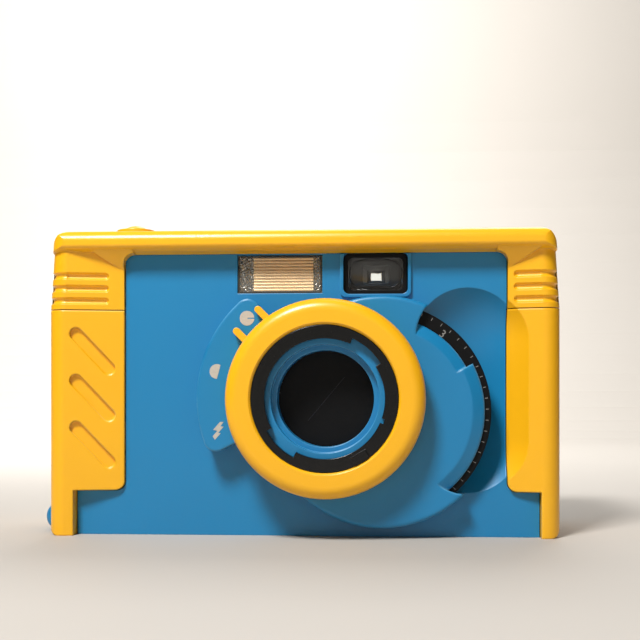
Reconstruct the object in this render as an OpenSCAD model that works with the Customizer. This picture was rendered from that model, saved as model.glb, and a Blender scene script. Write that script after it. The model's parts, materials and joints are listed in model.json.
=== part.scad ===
// Children's film camera: X to the right seen from the front, front towards -Y, Z up,
// origin at the middle of the base. All sizes in millimetres.

/* [Body] */
// Room between the left grip and the take-up bay
left_room = 4.8; // [3:0.1:8]
// Room between the cassette bay and the right end
right_room = 7.6; // [7:0.1:12]
// Room between the base and the drum
base_room = 2.7; // [1:0.1:5]
// Room between the thumb scoop's wall and the cassette bay
scoop_room = 0.8; // [0.4:0.1:2]
// From the middle plane to the back of the film door
rear_depth = 21; // [20.5:0.5:24]
// Wall of the mouldings
wall = 2; // [1.8:0.1:2.6]
// Gap between mouldings that meet
seam = 0.2; // [0.1:0.05:0.3]
// Corner radius of the outline at the foot
corner_r = 2.5; // [1:0.5:4]
// Corner radius of the outline at the top
top_r = 5; // [2:0.5:6]
// How far the ends lean in above the seam of the legs
end_lean = 1.3; // [0:0.1:2]
// Radius of the upright edges at the front
edge_r = 3.8; // [1:0.1:5]

/* [Grips] */
// Room between the cell's case and the inner edge of the left grip
grip_room = 0.2; // [0.2:0.1:2]
// Width of the right grip
right_grip_w = 12.8; // [12:0.1:16]
// How far the grips stand proud of the panel at their inner edge
grip_proud = 0.8; // [0.5:0.1:2]
// Angle at which the fronts of the grips flare out to the ends
flare = 11.5; // [0:0.5:14]
// Height of the step at the foot of the grips
step_h = 11.3; // [9:0.1:14]
// Width of the left grip below its step
left_strip_w = 6.4; // [5:0.1:9]
// Width of the right grip below its step
right_strip_w = 4.8; // [4:0.1:9]
// Radius at the corners of the steps
step_r = 2.2; // [0.5:0.1:3]
// Length of the slanted slots
slot_len = 15; // [10:0.5:15.5]
// Width of the slanted slots
slot_w = 3.2; // [2:0.1:3.6]
// Distance between the slanted slots
slot_pitch = 11.7; // [9:0.1:12]
// Depth of the slanted slots
slot_depth = 0.9; // [0.4:0.1:1.2]

/* [Top cover] */
// Height of the visor band above the panel
band_h = 5.6; // [4.5:0.1:6.5]
// How far the visor stands proud of the panel
visor_proud = 5; // [3:0.5:7]
// Radius along the top edge of the visor
visor_r = 2.6; // [1:0.1:3]
// Radius along the lower edge of the visor
nose_r = 1.4; // [0.5:0.1:1.8]
// Radius at the upper corners of the opening between the legs
web_r = 2.9; // [1:0.1:4]
// Height of the legs, from the top
leg_h = 19.5; // [16:0.5:22]
// Height of a groove in the legs
groove_w = 1.2; // [0.6:0.1:1.8]
// Distance between the grooves
groove_pitch = 3.1; // [2.4:0.1:3.6]
// Depth of the grooves
groove_depth = 0.6; // [0.3:0.1:1]

/* [Lens] */
// Outer radius of the selector ring
ring_r = 24; // [21:0.5:26]
// Depth of the selector ring
ring_len = 7.7; // [7:0.1:9]
// Radius round the outer front edge of the selector ring
ring_edge = 3; // [1:0.1:4]
// Bore radius of the bayonet ring
bayonet_r = 14.3; // [13.5:0.1:14.8]
// Bore radius at the foot of the barrel
barrel_r = 11.7; // [10.5:0.1:12.5]
// Wall of the barrel outside the bayonet's bore
barrel_wall = 2.5; // [2:0.1:3.5]
// Radius to the tips of the two prongs
prong_r = 27.7; // [26.5:0.1:30]
// Width of a prong
prong_w = 1.7; // [1:0.1:2.5]
// Distance between the prongs
prong_gap = 7.4; // [5:0.1:9]
// Radius of the taking lens
glass_r = 5; // [4:0.1:6]

/* [Scale dial] */
// Dial axis to the right of the lens axis
dial_dx = 13.5; // [12.5:0.1:14.5]
// Dial axis below the lens axis
dial_dz = 3.2; // [2:0.1:4]
// Radius of the dial
dial_r = 26.6; // [26:0.1:27.5]
// Thickness of the dial
dial_t = 1.6; // [1.2:0.1:1.8]
// Radius of the axle that the dial turns on
axle_r = 1.5; // [1:0.1:1.8]
// Height of the drum over the panel
hub_h = 6; // [5.5:0.1:8]
// Wall of the drum round the dial
hub_wall = 1; // [0.8:0.1:1.4]
// Radius round the front edge of the drum
hub_edge = 0.9; // [0.4:0.1:1]
// Width of the slope down to the dial's window
window_slope = 2.7; // [1:0.1:4]
// Width of the slope down to the dial's rim
lip_slope = 3; // [1:0.1:4]
// Radius of the icon plate about the lens axis
plate_r = 31.8; // [30:0.1:33]

/* [Thumb scoop] */
// Scoop axis to the right of the lens axis
scoop_dx = 34.7; // [33:0.1:36]
// Half width of the scoop
scoop_r = 13; // [11:0.5:14]
// Distance between the centres of its round ends
scoop_len = 24.8; // [20:0.2:28]
// Depth of the scoop
scoop_depth = 5; // [3:0.25:5.5]

/* [Flash and finder] */
// Middle of the flash window to the left of the lens axis
flash_dx = 11.9; // [11:0.1:13]
// Width of the flash window
flash_w = 21.1; // [18:0.1:22]
// Height of the flash window
flash_h = 9.4; // [8:0.1:9.6]
// Middle of the finder to the right of the lens axis
finder_dx = 12; // [11:0.1:14]
// Width of the finder front
finder_w = 15.8; // [14:0.1:17]
// Height of the finder front
finder_h = 10.1; // [8.5:0.1:10.2]

/* [Shutter button] */
// Radius of the button
button_r = 3; // [2.5:0.1:3.4]
// Radius of the collar round the button
collar_r = 5; // [4.5:0.1:6]
// Rise of the collar
collar_h = 2.4; // [1.5:0.1:3]
// Travel of the button
press = 2; // [1:0.1:2]

/* [Film] */
// Width of the picture
gate_w = 36; // [34:0.5:36]
// Height of the picture
gate_h = 24; // [22:0.5:25]
// Radius of the cassette bay
cassette_r = 13.2; // [12.8:0.1:13.4]
// Radius of the take-up bay
takeup_r = 10.2; // [9:0.1:10.4]
// Height of both film bays
bay_h = 48.4; // [46:0.2:49]
// How far the advance wheel stands out of the back
wheel_proud = 1.3; // [0.5:0.1:2]
// Thickness of the film door
door_t = 4.8; // [4.2:0.1:5.2]
// Radius of the door's hinge pin
pin_r = 1; // [0.8:0.1:1.2]

/* [Battery] */
// Radius of the cell
cell_r = 7.25; // [7:0.05:7.25]
// Length of the cell
cell_len = 50.5; // [48:0.5:50.5]

/* [Hidden] */
// Lap of the round edges over the ends they turn into
edge_lap = 0.03;
$fn = 64;

// Clearances: a turning fit, a sliding fit and a loose gap
turn = 0.06;
slide = 0.1;
loose = 0.3;

// Sheet metal and pin sizes
leaf = 0.4;
shaft_r = 1.8;
screw_r = 1;
head_r = 2;
head_h = 1.2;
post_r = 2.6;

// Cell and its case in the left grip
case_wall = 0.8;
case_r = cell_r + 0.15;
case_side = case_r + case_wall;
case_gap = 0.2;
left_grip_w = wall + case_gap + 2 * case_side + grip_room;
tray_t = 1.3;
tray_z = 1;
tray_foot = 0.6;
z_cell = tray_z + tray_t + loose;
z_case = z_cell;
case_lid = 1.6;
case_top = z_cell + cell_len + 0.8 + case_lid;
contact_r = 5;
tab_w = 7;
tab_h = 6;

// Widths from the lens axis to both ends
bay_wall = 1.8;
gate_wall = 2;
takeup_gap = 4.1;
cassette_gap = 1.5;
takeup_dx = gate_w / 2 + gate_wall + takeup_gap + takeup_r;
cassette_dx = gate_w / 2 + gate_wall + cassette_gap + cassette_r;
left_span = takeup_dx + takeup_r + bay_wall + left_room + left_grip_w;
scoop_edge = 9.6;
right_span = max(cassette_dx + cassette_r + bay_wall + right_room, scoop_dx + scoop_r + scoop_edge);

// Places across the width
lens_x = (left_span - right_span) / 2;
x_right = (left_span + right_span) / 2;
x_left = -x_right;
panel_left = x_left + left_grip_w;
panel_right = x_right - right_grip_w;
foot_left = x_left + left_strip_w;
foot_right = x_right - right_strip_w;
takeup_x = lens_x - takeup_dx;
cassette_x = lens_x + cassette_dx;
cell_x = x_left + wall + case_gap + case_side;

// Places from back to front
y_door = rear_depth - door_t;
y_split = y_door - seam;
cassette_y = y_split - cassette_r;
takeup_y = y_split - takeup_r - loose;
film_y = y_split - 3;
body_front = y_split - 12.8;
y_inside = cassette_y - cassette_r - bay_wall - scoop_room - scoop_depth;
y_panel = y_inside - wall;
y_grip = y_panel - grip_proud;
y_ends = y_grip - max(left_grip_w, right_grip_w) * tan(flare);
y_visor = y_panel - visor_proud;
y_hub = y_panel - hub_h;
panel_lip = 4.5;
lip_room = panel_lip + loose;
cell_y = y_inside + 0.6 + case_side;

// Places in height, from the base up
dial_room = 0.7;
hub_r = dial_r + dial_room + hub_wall;
dial_z = base_room + hub_r;
lens_z = dial_z + dial_dz;
bay_low = lens_z - bay_h / 2;
bay_top = lens_z + bay_h / 2;
bay_roof = 2.4;
body_low = wall + seam;
body_high = max(bay_top + bay_roof, case_top + press + 3.3);
frame_w = 7.2;
frame_h = 4.9;
finder_wall = 1;
bezel_edge = 0.8;
finder_room = 1.1;
window_z = max(body_high + finder_room + finder_wall + frame_h / 2,
    dial_z + hub_r + bezel_edge + 2 * slide + finder_h / 2);
z_band = window_z + max(finder_h, flash_h + 2 * seam) / 2;
body_h = z_band + band_h;
z_leg = body_h - leg_h;
z_roof = body_h - wall;
nose_up = 0.8;
z_nose = z_band + nose_up + nose_r;
gusset_w = min(left_grip_w, right_grip_w) - edge_r - end_lean;
gusset_h = 4.2;
rear_step = 2.1;
z_rear = z_leg + rear_step;

// Dial, selector ring and thumb scoop
dial_x = lens_x + dial_dx;
hub_face = 1.8;
window_r = dial_r - 3.4;
lip_r = dial_r - 1.6;
icon_first = 135;
barrel_out_r = bayonet_r + barrel_wall;
flange_r = barrel_out_r + 0.7;
y_ring = y_hub - loose;
y_ring_front = y_ring - ring_len;
y_bayonet = y_ring_front + 0.4;
bayonet_t = 2.2;
scoop_x = lens_x + scoop_dx;
scoop_z = lens_z + 2.1;
scoop_ball = (scoop_r * scoop_r + scoop_depth * scoop_depth) / (2 * scoop_depth);
scoop_y = y_panel - scoop_ball + scoop_depth;
z_scoop = scoop_z + (scoop_len + scoop_r * 2) / 2 - wall;

// Lens holder and shutter behind the panel
holder_r = 15.5;
holder_t = 5.6;
y_holder = y_inside + seam;
y_shutter = y_holder + holder_t;
pivot_dx = -9;
pivot_dz = 9;
pivot_r = 1;
pivot_boss = 1.8;
blade_t = 0.5;
y_blade = y_shutter + 1.5;
y_tunnel = y_shutter + 3.4;
aperture_r = 4;

// Flash and finder
flash_x = lens_x - flash_dx;
finder_x = lens_x + finder_dx;
eye_w = 4.4;
eye_h = 3.2;
finder_front_len = 8.4;
lamp_x = finder_x + 11.7;
lamp_r = 1.5;
cap_r = 4.6;
cap_len = 28;
tube_in = 6;
cap_top = wall + loose + 2 * cap_r;

// Film body, screws and door hinge
body_side = x_right - wall - seam;
screw_rise = 7.2;
screw_drop = 14.2;
screw_wide = 19.5;
screw_near = 13.7;
screw_high = lens_z + gate_h / 2 + screw_rise;
screw_low = lens_z - gate_h / 2 - screw_drop;
screw_at = [[lens_x - screw_wide, screw_high], [lens_x + screw_near, screw_high],
            [lens_x - screw_near, screw_low], [lens_x + screw_near, screw_low]];
screw_bite = 11;
hinge_x = x_left + door_t / 2;
hinge_y = y_door + door_t / 2;
door_low = 0.4;
door_high = z_rear - seam;
ear_h = 7;
ear_low = [body_low, door_high - seam - ear_h];
press_gap = 0.9;
press_t = 1.2;
press_edge = 2;
press_over = 4;

// Button and release
button_x = panel_left;
button_y = y_panel + 12;
button_top = body_h + collar_h + 1.3;
stem_r = 1.4;
flange_h = 1.4;
z_flange = z_roof - loose - flange_h;
shelf_h = 1.2;
z_shelf = z_flange - 11.8;
bar_h = 1.7;
z_bar = z_shelf - seam - bar_h;
bar_in = 6;
bar_y = y_panel + bar_in;
bar_w = 1.6;
toe_half = 1;
toe_h = 1.5;
toe_x = lens_x + pivot_dx - 5;
toe_z = lens_z + pivot_dz + 3.1;

// Wheel and rewind
wheel_r = rear_depth + wheel_proud - takeup_y;
wheel_h = 4;
z_wheel = body_high + 1.2;
knob_r = 8;
knob_h = 2.7;

// A flat shape drawn in X and Z, carried from y0 to y1
module along_y(y0, y1) {
    translate([0, y1, 0]) rotate([90, 0, 0]) linear_extrude(y1 - y0) children();
}

// A flat shape drawn in Y and Z, carried from x0 to x1
module along_x(x0, x1) {
    translate([x0, 0, 0]) rotate([90, 0, 90]) linear_extrude(x1 - x0) children();
}

module rod_y(x, z, r, y0, y1) {
    translate([x, y1, z]) rotate([90, 0, 0]) cylinder(r = r, h = y1 - y0);
}

module rod_x(y, z, r, x0, x1) {
    translate([x0, y, z]) rotate([0, 90, 0]) cylinder(r = r, h = x1 - x0);
}

module rod_z(x, y, r, z0, z1) {
    translate([x, y, z0]) cylinder(r = r, h = z1 - z0);
}

// A block from its two corners
module block(low, high) {
    translate(low) cube(high - low);
}

module rect(x0, x1, z0, z1) {
    translate([x0, z0]) square([x1 - x0, z1 - z0]);
}

// A rectangle with round corners
module round_rect(x0, x1, z0, z1, r) {
    rect(x0 + r, x1 - r, z0, z1);
    rect(x0, x1, z0 + r, z1 - r);
    for (x = [x0 + r, x1 - r], z = [z0 + r, z1 - r]) translate([x, z]) circle(r);
}

// A flat shape drawn in X and Y, carried from z0 to z1
module along_z(z0, z1) {
    translate([0, 0, z0]) linear_extrude(z1 - z0) children();
}

// Plan of the case: round edges at the front corners and half-round ones at the back
module plan(y_front, slant) {
    back_r = door_t / 2;
    rect(panel_left - 1, panel_right + 1, y_front, rear_depth);
    for (ends = [[panel_left, x_left], [panel_right, x_right]]) {
        flank(ends[0], ends[1], y_front, slant);
        translate([ends[1] + sign(ends[0]) * -back_r, rear_depth - back_r]) circle(back_r);
    }
    rect(x_left + back_r, x_right - back_r, 0, rear_depth);
}

// Plan of one end: its front slants out from the inner edge and turns into the side by edge_r
module flank(inner, outer, y_front, slant) {
    s = sign(outer - inner);
    turn_at = flank_turn(inner, outer, y_front, slant);
    y_back = rear_depth - door_t / 2;
    translate(turn_at) intersection() {
        circle(edge_r + edge_lap);
        rect(-2 * edge_r, 2 * edge_r, -2 * edge_r, 0.2 * edge_r);
    }
    polygon([[inner - s, y_front], [inner, y_front], turn_at - edge_r * [s * sin(slant), cos(slant)],
        [outer, turn_at[1]], [outer, y_back], [inner - s, y_back]]);
}

// The same plan for an end on its own, cut from a sharp corner
module lone_flank(inner, outer, y_front, slant) {
    s = sign(outer - inner);
    away = [-s * sin(slant), -cos(slant)];
    side_on = [s, 0];
    y_back = rear_depth - door_t / 2;
    difference() {
        polygon([[inner - s, y_front], [inner, y_front], [outer, y_front - abs(outer - inner) * tan(slant)],
            [outer, y_back], [inner - s, y_back]]);
        translate(flank_turn(inner, outer, y_front, slant)) difference() {
            polygon([[0, 0], 2 * edge_r * away, 3 * edge_r * (away + side_on), 2 * edge_r * side_on]);
            circle(edge_r + edge_lap);
        }
    }
}

// Centre of the round edge of an end
function flank_turn(inner, outer, y_front, slant) = let (x = outer - sign(outer - inner) * edge_r)
    [x, y_front - abs(x - inner) * tan(slant) + edge_r / cos(slant)];

// Upright prism that leans in at one end, s = -1 the left and 1 the right
module leaning(s) {
    translate([s * x_right, 0, z_leg]) rotate([0, -s * atan(end_lean / leg_h), 0])
        translate([-s * x_right, 0, -leg_h]) linear_extrude(3 * leg_h) children();
}

// The part of a disc between two angles, counted from +X towards +Z
module sector(r, a0, a1) {
    far = 2 * r;
    steps = 6;
    intersection() {
        circle(r);
        polygon(concat([[0, 0]],
            [for (i = [0:steps]) let (a = a0 + (a1 - a0) * i / steps) far * [cos(a), sin(a)]]));
    }
}

// The outline that all the mouldings keep to
module outline() {
    z_round = body_h - top_r;
    x_round = x_right - end_lean * (z_round - z_leg) / leg_h;
    rect(x_left, x_right, corner_r, z_round + top_r * end_lean / leg_h);
    rect(x_left + corner_r, x_right - corner_r, 0, z_leg);
    rect(top_r - x_round, x_round - top_r, z_leg, body_h);
    for (s = [-1, 1]) {
        translate([s * (x_right - corner_r), corner_r]) circle(corner_r);
        translate([s * (x_round - top_r), z_round]) circle(top_r);
    }
}

// The hollow of the thumb scoop, grown by a wall
module scoop_hollow(grow) {
    for (s = [-1, 1]) translate([scoop_x, scoop_y, scoop_z + s * scoop_len / 2]) sphere(scoop_ball + grow);
    rod_z(scoop_x, scoop_y, scoop_ball + grow, scoop_z - scoop_len / 2, scoop_z + scoop_len / 2);
}

// The scoop's outline at the panel
module scoop_outline() {
    for (s = [-1, 1]) translate([scoop_x, scoop_z + s * scoop_len / 2]) circle(scoop_r);
    rect(scoop_x - scoop_r, scoop_x + scoop_r, scoop_z - scoop_len / 2, scoop_z + scoop_len / 2);
}

// Front face of the blue panel: between the grips, and wider below their steps
module panel_face(inset) {
    rect(panel_left + seam + inset, panel_right - seam - inset, inset, z_roof - seam - inset);
    rect(foot_left + seam + inset, foot_right - seam - inset, inset, step_h - seam - inset);
    if (inset == 0) for (side = [[panel_left, -1], [panel_right, 1]]) difference() {
        translate([side[0] - side[1] * seam, step_h - seam]) corner_square(side[1], 1, step_r);
        translate([side[0] + side[1] * step_r, step_h + step_r]) circle(step_r + seam);
    }
}

// A square of side r to one side of the origin, overlapping its neighbours a little
module corner_square(sx, sz, r) {
    rect(min(-sx * 0.2, sx * r), max(-sx * 0.2, sx * r), min(-sz * 0.2, sz * r), max(-sz * 0.2, sz * r));
}

// Blue panel with its lips, the bottom plate, the screw posts and the thumb scoop
module front_cover() {
    bezel = 0.8;
    color("#3088ba") difference() {
        union() {
            along_y(y_panel, y_inside) panel_face(0);
            along_y(y_panel, y_panel + panel_lip) difference() {
                panel_face(0);
                panel_face(wall);
            }
            block([foot_left + seam, y_panel, 0], [foot_right - seam, y_split, wall]);
            intersection() {
                scoop_hollow(wall);
                block([scoop_x - scoop_r - wall, y_panel, wall], [panel_right - seam, 0, z_scoop]);
            }
            along_y(y_panel - bezel, y_panel) finder_bezel();
            for (p = screw_at) rod_y(p[0], p[1], post_r, y_inside - 0.5, body_front - seam);
        }
        scoop_hollow(0);
        rod_y(lens_x, lens_z, barrel_r - 2.7, y_panel - 1, y_inside + 1);
        rod_y(dial_x, dial_z, axle_r + 0.02, y_panel - 1, y_inside + 1);
        along_y(y_panel - 1, y_inside + 1) flash_opening(slide);
        along_y(y_panel - 1, y_inside + 1) finder_opening(slide);
        block([x_left, cell_y - case_side - loose, -1],
            [cell_x + case_side + 0.8, cell_y + case_side + loose, step_h + step_r + seam]);
        for (p = screw_at) rod_y(p[0], p[1], screw_r + 0.03, body_front - screw_bite - 1, body_front + 1);
    }
}

module flash_opening(gap) {
    rect(flash_x - flash_w / 2 - gap, flash_x + flash_w / 2 + gap,
        window_z - flash_h / 2 - gap, window_z + flash_h / 2 + gap);
}

module finder_opening(gap) {
    round_rect(finder_x - finder_w / 2 - gap, finder_x + finder_w / 2 + gap,
        window_z - finder_h / 2 - gap, window_z + finder_h / 2 + gap, 1.5);
}

// A rectangle about the finder's axis
module finder_frame(w, h) {
    rect(finder_x - w / 2, finder_x + w / 2, window_z - h / 2, window_z + h / 2);
}

// Raised edge round the finder, open at the top under the visor
module finder_bezel() {
    intersection() {
        finder_opening(slide + bezel_edge);
        rect(finder_x - finder_w, finder_x + finder_w, 0, z_band - seam);
    }
}

// Blue drum over the dial, with the icon plate and the seat of the barrel
// Everything outside a funnel that falls from the drum's face to radius r above the dial
module dial_slope(r, width) {
    land = 0.4;
    drop = hub_face - land;
    translate([dial_x, y_hub, dial_z]) rotate([-90, 0, 0]) rotate_extrude()
        polygon([[r - width, 0], [hub_r + 2, 0], [hub_r + 2, hub_face + 2], [r, hub_face + 2], [r, drop]]);
}

module hub_cover() {
    room = hub_h - hub_face;
    color("#3088ba") difference() {
        union() {
            drum();
            rod_y(lens_x, lens_z, ring_r - 2, y_hub, y_panel);
            along_y(y_hub, y_panel) translate([lens_x, lens_z]) icon_plate();
        }
        rod_y(dial_x, dial_z, dial_r + dial_room, y_panel - room, y_panel + 1);
        rod_y(lens_x, lens_z, barrel_r, y_hub - 1, y_panel);
        along_y(y_hub - 1, y_panel + 1) difference() {
            scoop_outline();
            translate([dial_x, dial_z]) circle(lip_r);
        }
        intersection() {
            along_y(y_hub - 1, y_panel) scoop_outline();
            dial_slope(lip_r, lip_slope);
        }
        intersection() {
            along_y(y_hub - 1, y_panel - room + slide) intersection() {
                scoop_outline();
                translate([dial_x, dial_z]) sector(hub_r + 1, 28, 75);
            }
            dial_slope(window_r, window_slope);
        }
    }
}

// Solid drum with a round front edge
module drum() {
    translate([dial_x, y_panel, dial_z]) rotate([90, 0, 0]) rotate_extrude() {
        rect(0, hub_r - hub_edge, 0, hub_h);
        rect(0, hub_r, 0, hub_h - hub_edge);
        translate([hub_r - hub_edge, hub_h - hub_edge]) circle(hub_edge);
    }
}

// Outline of the icon plate about the lens axis, with round corners
module icon_plate() {
    r = 3;
    top = 54;
    rise = min(plate_r * sin(top), window_z - flash_h / 2 - seam - slide - lens_z);
    first = 180 - asin(rise / plate_r);
    last = 206;
    turn_in = asin(r / (plate_r - r));
    sector(plate_r, first + turn_in, last - turn_in);
    sector(plate_r - r, first, last);
    for (a = [first + turn_in, last - turn_in]) rotate(a) translate([plate_r - r, 0]) circle(r + slide / 2);
}

// Yellow top with its visor, two ribbed legs, the rear wall and the button's collar and shelf
module top_cover() {
    color("#ffc428") difference() {
        union() {
            intersection() {
                top_shell(wall + 1.4);
                along_y(y_visor - 1, rear_depth + 1) outline();
            }
            rod_z(button_x, button_y, collar_r, z_roof, body_h + collar_h);
        }
        front_lip_room();
        scoop_hollow(0);
        for (i = [0:2]) leg_groove(window_z - 0.5 - i * groove_pitch);
        rod_z(button_x, button_y, button_r + slide, z_roof - 1, body_h + collar_h + 1);
        rod_z(button_x, button_y, stem_r + slide, z_shelf - 1, z_shelf + shelf_h + 1);
        rod_z(cassette_x, cassette_y, shaft_r + loose, z_roof - 1, body_h + 1);
        block([takeup_x - wheel_r, rear_depth - wall - 1, z_wheel - loose],
            [takeup_x + wheel_r, rear_depth + 1, z_wheel + wheel_h + loose]);
        along_y(rear_depth - wall - 1, rear_depth + 1) finder_frame(eye_w, eye_h);
        rod_y(lamp_x, window_z, lamp_r + 0.05, rear_depth - wall - 1, rear_depth + 1);
    }
}

// Gusset in an upper corner of the opening: it falls from the visor's edge to the grip's inner edge,
// runs out along the leg and is rounded towards the panel
module gusset(x, s) {
    z_low = z_band - gusset_h;
    x_in = x + s * web_r;
    x_out = x - s * gusset_w;
    intersection() {
        along_x(min(x_in, x_out), max(x_in, x_out)) polygon([[y_panel - seam, z_low], [y_grip, z_low],
            [y_visor + nose_r / 2, z_band + nose_up + loose], [y_panel - seam, z_nose]]);
        along_y(y_visor, y_panel) difference() {
            polygon([[x_in, z_low], [x, z_low], [x_out, z_band + nose_up], [x_out, z_nose], [x_in, z_nose]]);
            rect(min(x, x + 2 * s * web_r), max(x, x + 2 * s * web_r), 0, z_band - web_r);
            translate([x_in, z_band - web_r]) circle(web_r);
        }
    }
}

// Roof, visor, legs, sides, rear wall and the shelf under the button
module top_shell(leg_wall) {
    intersection() {
        union() {
            block([x_left, y_panel - seam, z_roof], [x_right, rear_depth, body_h]);
            along_x(x_left, x_right) visor();
            block([x_left, rear_depth - wall, z_rear], [x_right, rear_depth, body_h]);
        }
        leaning(-1) plan(y_visor, 0);
        leaning(1) plan(y_visor, 0);
    }
    for (s = [-1, 1]) intersection() {
        x_end = s * x_right;
        x_in = (s < 0) ? panel_left : panel_right;
        x_wall = x_end - s * wall;
        x_deep = x_wall - s * end_lean;
        union() {
            block([min(x_end, x_in), y_visor, z_leg], [max(x_end, x_in), y_grip + leg_wall, z_roof]);
            block([min(x_end, x_wall), y_visor, z_leg], [max(x_end, x_wall), y_split, body_h]);
            block([min(x_end, x_wall), y_visor, z_rear], [max(x_end, x_wall), rear_depth, body_h]);
            block([min(x_end, x_deep), y_visor, body_high + loose], [max(x_end, x_deep), rear_depth, body_h]);
        }
        leaning(s) plan(y_grip, flare);
    }
    gusset(panel_left, 1);
    gusset(panel_right, -1);
    block([button_x - collar_r, y_grip + 1, z_shelf], [panel_left, button_y + collar_r, z_shelf + shelf_h]);
    block([panel_left - 1, y_panel + lip_room, z_shelf],
        [button_x + collar_r, button_y + collar_r, z_shelf + shelf_h]);
}

// Section of the visor: round on top, its underside sloping back to the panel
module visor() {
    translate([y_visor + visor_r, body_h - visor_r]) circle(visor_r);
    translate([y_visor + nose_r, z_nose]) circle(nose_r);
    polygon([[y_panel - seam, z_band], [y_visor + nose_r, z_band + nose_up], [y_visor, z_nose],
        [y_visor, body_h - visor_r], [y_visor + visor_r, body_h], [y_panel - seam, body_h]]);
}

// Room behind the visor for the panel, which runs up to just under the roof
module front_lip_room() {
    block([panel_left, y_panel - seam, z_leg - 1], [panel_right, y_panel + lip_room, z_roof]);
}

// A groove across the front of both legs and round their outer sides
module leg_groove(z) {
    plain = 4.5;
    step = 0.04;
    r = (groove_w + groove_depth) / 2;
    out = r - groove_depth;
    lean = end_lean * (z - z_leg) / leg_h;
    for (s = [-1, 1]) {
        inner = (s < 0) ? panel_left : panel_right;
        start = (s < 0) ? plain : plain / 2;
        turn_at = flank_turn(inner, s * x_right, y_grip, flare) - [s * lean, 0];
        away = -[s * sin(flare), cos(flare)];
        from = [inner + s * start, y_grip - start * tan(flare)] + out * away;
        to = turn_at + (edge_r + out) * away;
        x_wide = s * (x_right + 2);
        translate([from[0], from[1], z]) {
            sphere(r);
            rotate([0, 0, (s < 0) ? 180 + flare : -flare]) rotate([0, 90, 0]) cylinder(r = r, h = norm(to - from));
        }
        rod_y(turn_at[0] + s * (edge_r + out), z, r, turn_at[1], y_split);
        intersection() {
            translate([turn_at[0], turn_at[1], z]) rotate_extrude()
                translate([edge_r + out, 0]) circle(r - step);
            block([min(to[0], x_wide), to[1] - 2, z - 2], [max(to[0], x_wide), turn_at[1], z + 2]);
        }
    }
}

// Yellow cover of the left end, with three slanted slots and the way out for the battery cover
module left_grip() {
    slot_x = panel_left - 7.7;
    slot_y = y_grip - (panel_left - slot_x) * tan(flare);
    slot_z = z_leg - 10.4;
    color("#ffc428") difference() {
        intersection() {
            union() {
                grip_shell(x_left, panel_left, foot_left);
                block([x_left, y_ends, 0], [x_left + wall, y_split, z_leg - seam]);
            }
            along_y(y_ends, y_split) outline();
            along_z(0, z_leg) lone_flank(panel_left, x_left, y_grip, flare);
        }
        for (i = [0:2]) translate([slot_x, slot_y, slot_z - i * slot_pitch])
            rotate([0, 0, flare]) slanted_slot();
        block([x_left - 1, cell_y - case_side - loose, -1],
            [foot_left + 1, cell_y + case_side + loose, tray_z + tray_t + loose]);
    }
}

module slanted_slot() {
    rotate([0, 47, 0]) {
        half = (slot_len - slot_w) / 2;
        block([-half, -1, -slot_w / 2], [half, slot_depth, slot_w / 2]);
        for (s = [-1, 1]) rod_y(s * half, 0, slot_w / 2, -1, slot_depth);
    }
}

// Front wall of a grip between its outer and inner edge, with its foot and a lip round the inside
module grip_shell(outer, inner, foot) {
    lip = wall + 1.4;
    low = min(outer, inner);
    high = max(outer, inner);
    foot_low = min(outer, foot);
    foot_high = max(outer, foot);
    inner_low = min(inner, inner + sign(outer - inner) * wall);
    along_y(y_ends, y_grip + wall) grip_face(low, high, foot_low, foot_high);
    along_y(y_ends, y_grip + lip) intersection() {
        grip_face(low, high, foot_low, foot_high);
        union() {
            rect(inner_low, inner_low + wall, step_h, z_leg - seam);
            rect(low, high, step_h, step_h + wall);
        }
    }
    block([foot_low, y_ends, 0], [foot_high, y_split, wall]);
}

// Face of a grip with the round corner at its step
module grip_face(low, high, foot_low, foot_high) {
    inner = (foot_low == low) ? high : low;
    side = (foot_low == low) ? -1 : 1;
    difference() {
        rect(low, high, step_h, z_leg - seam);
        translate([inner, step_h]) corner_square(side, 1, step_r);
    }
    translate([inner + side * step_r, step_h + step_r]) circle(step_r);
    rect(foot_low, foot_high, 0, step_h + 1);
}

// Yellow cover of the right end; its inner edge is thick enough for the scoop
module right_grip() {
    thick = 5.5;
    color("#ffc428") difference() {
        intersection() {
            union() {
                grip_shell(x_right, panel_right, foot_right);
                block([x_right - wall, y_ends, 0], [x_right, y_split, z_leg - seam]);
                along_y(y_ends, y_inside + 1.6) intersection() {
                    grip_face(panel_right, x_right, foot_right, x_right);
                    rect(panel_right, panel_right + thick, step_h, z_leg - seam);
                }
            }
            along_y(y_ends, y_split) outline();
            along_z(0, z_leg) plan(y_grip, flare);
        }
        scoop_hollow(0);
    }
}

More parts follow.
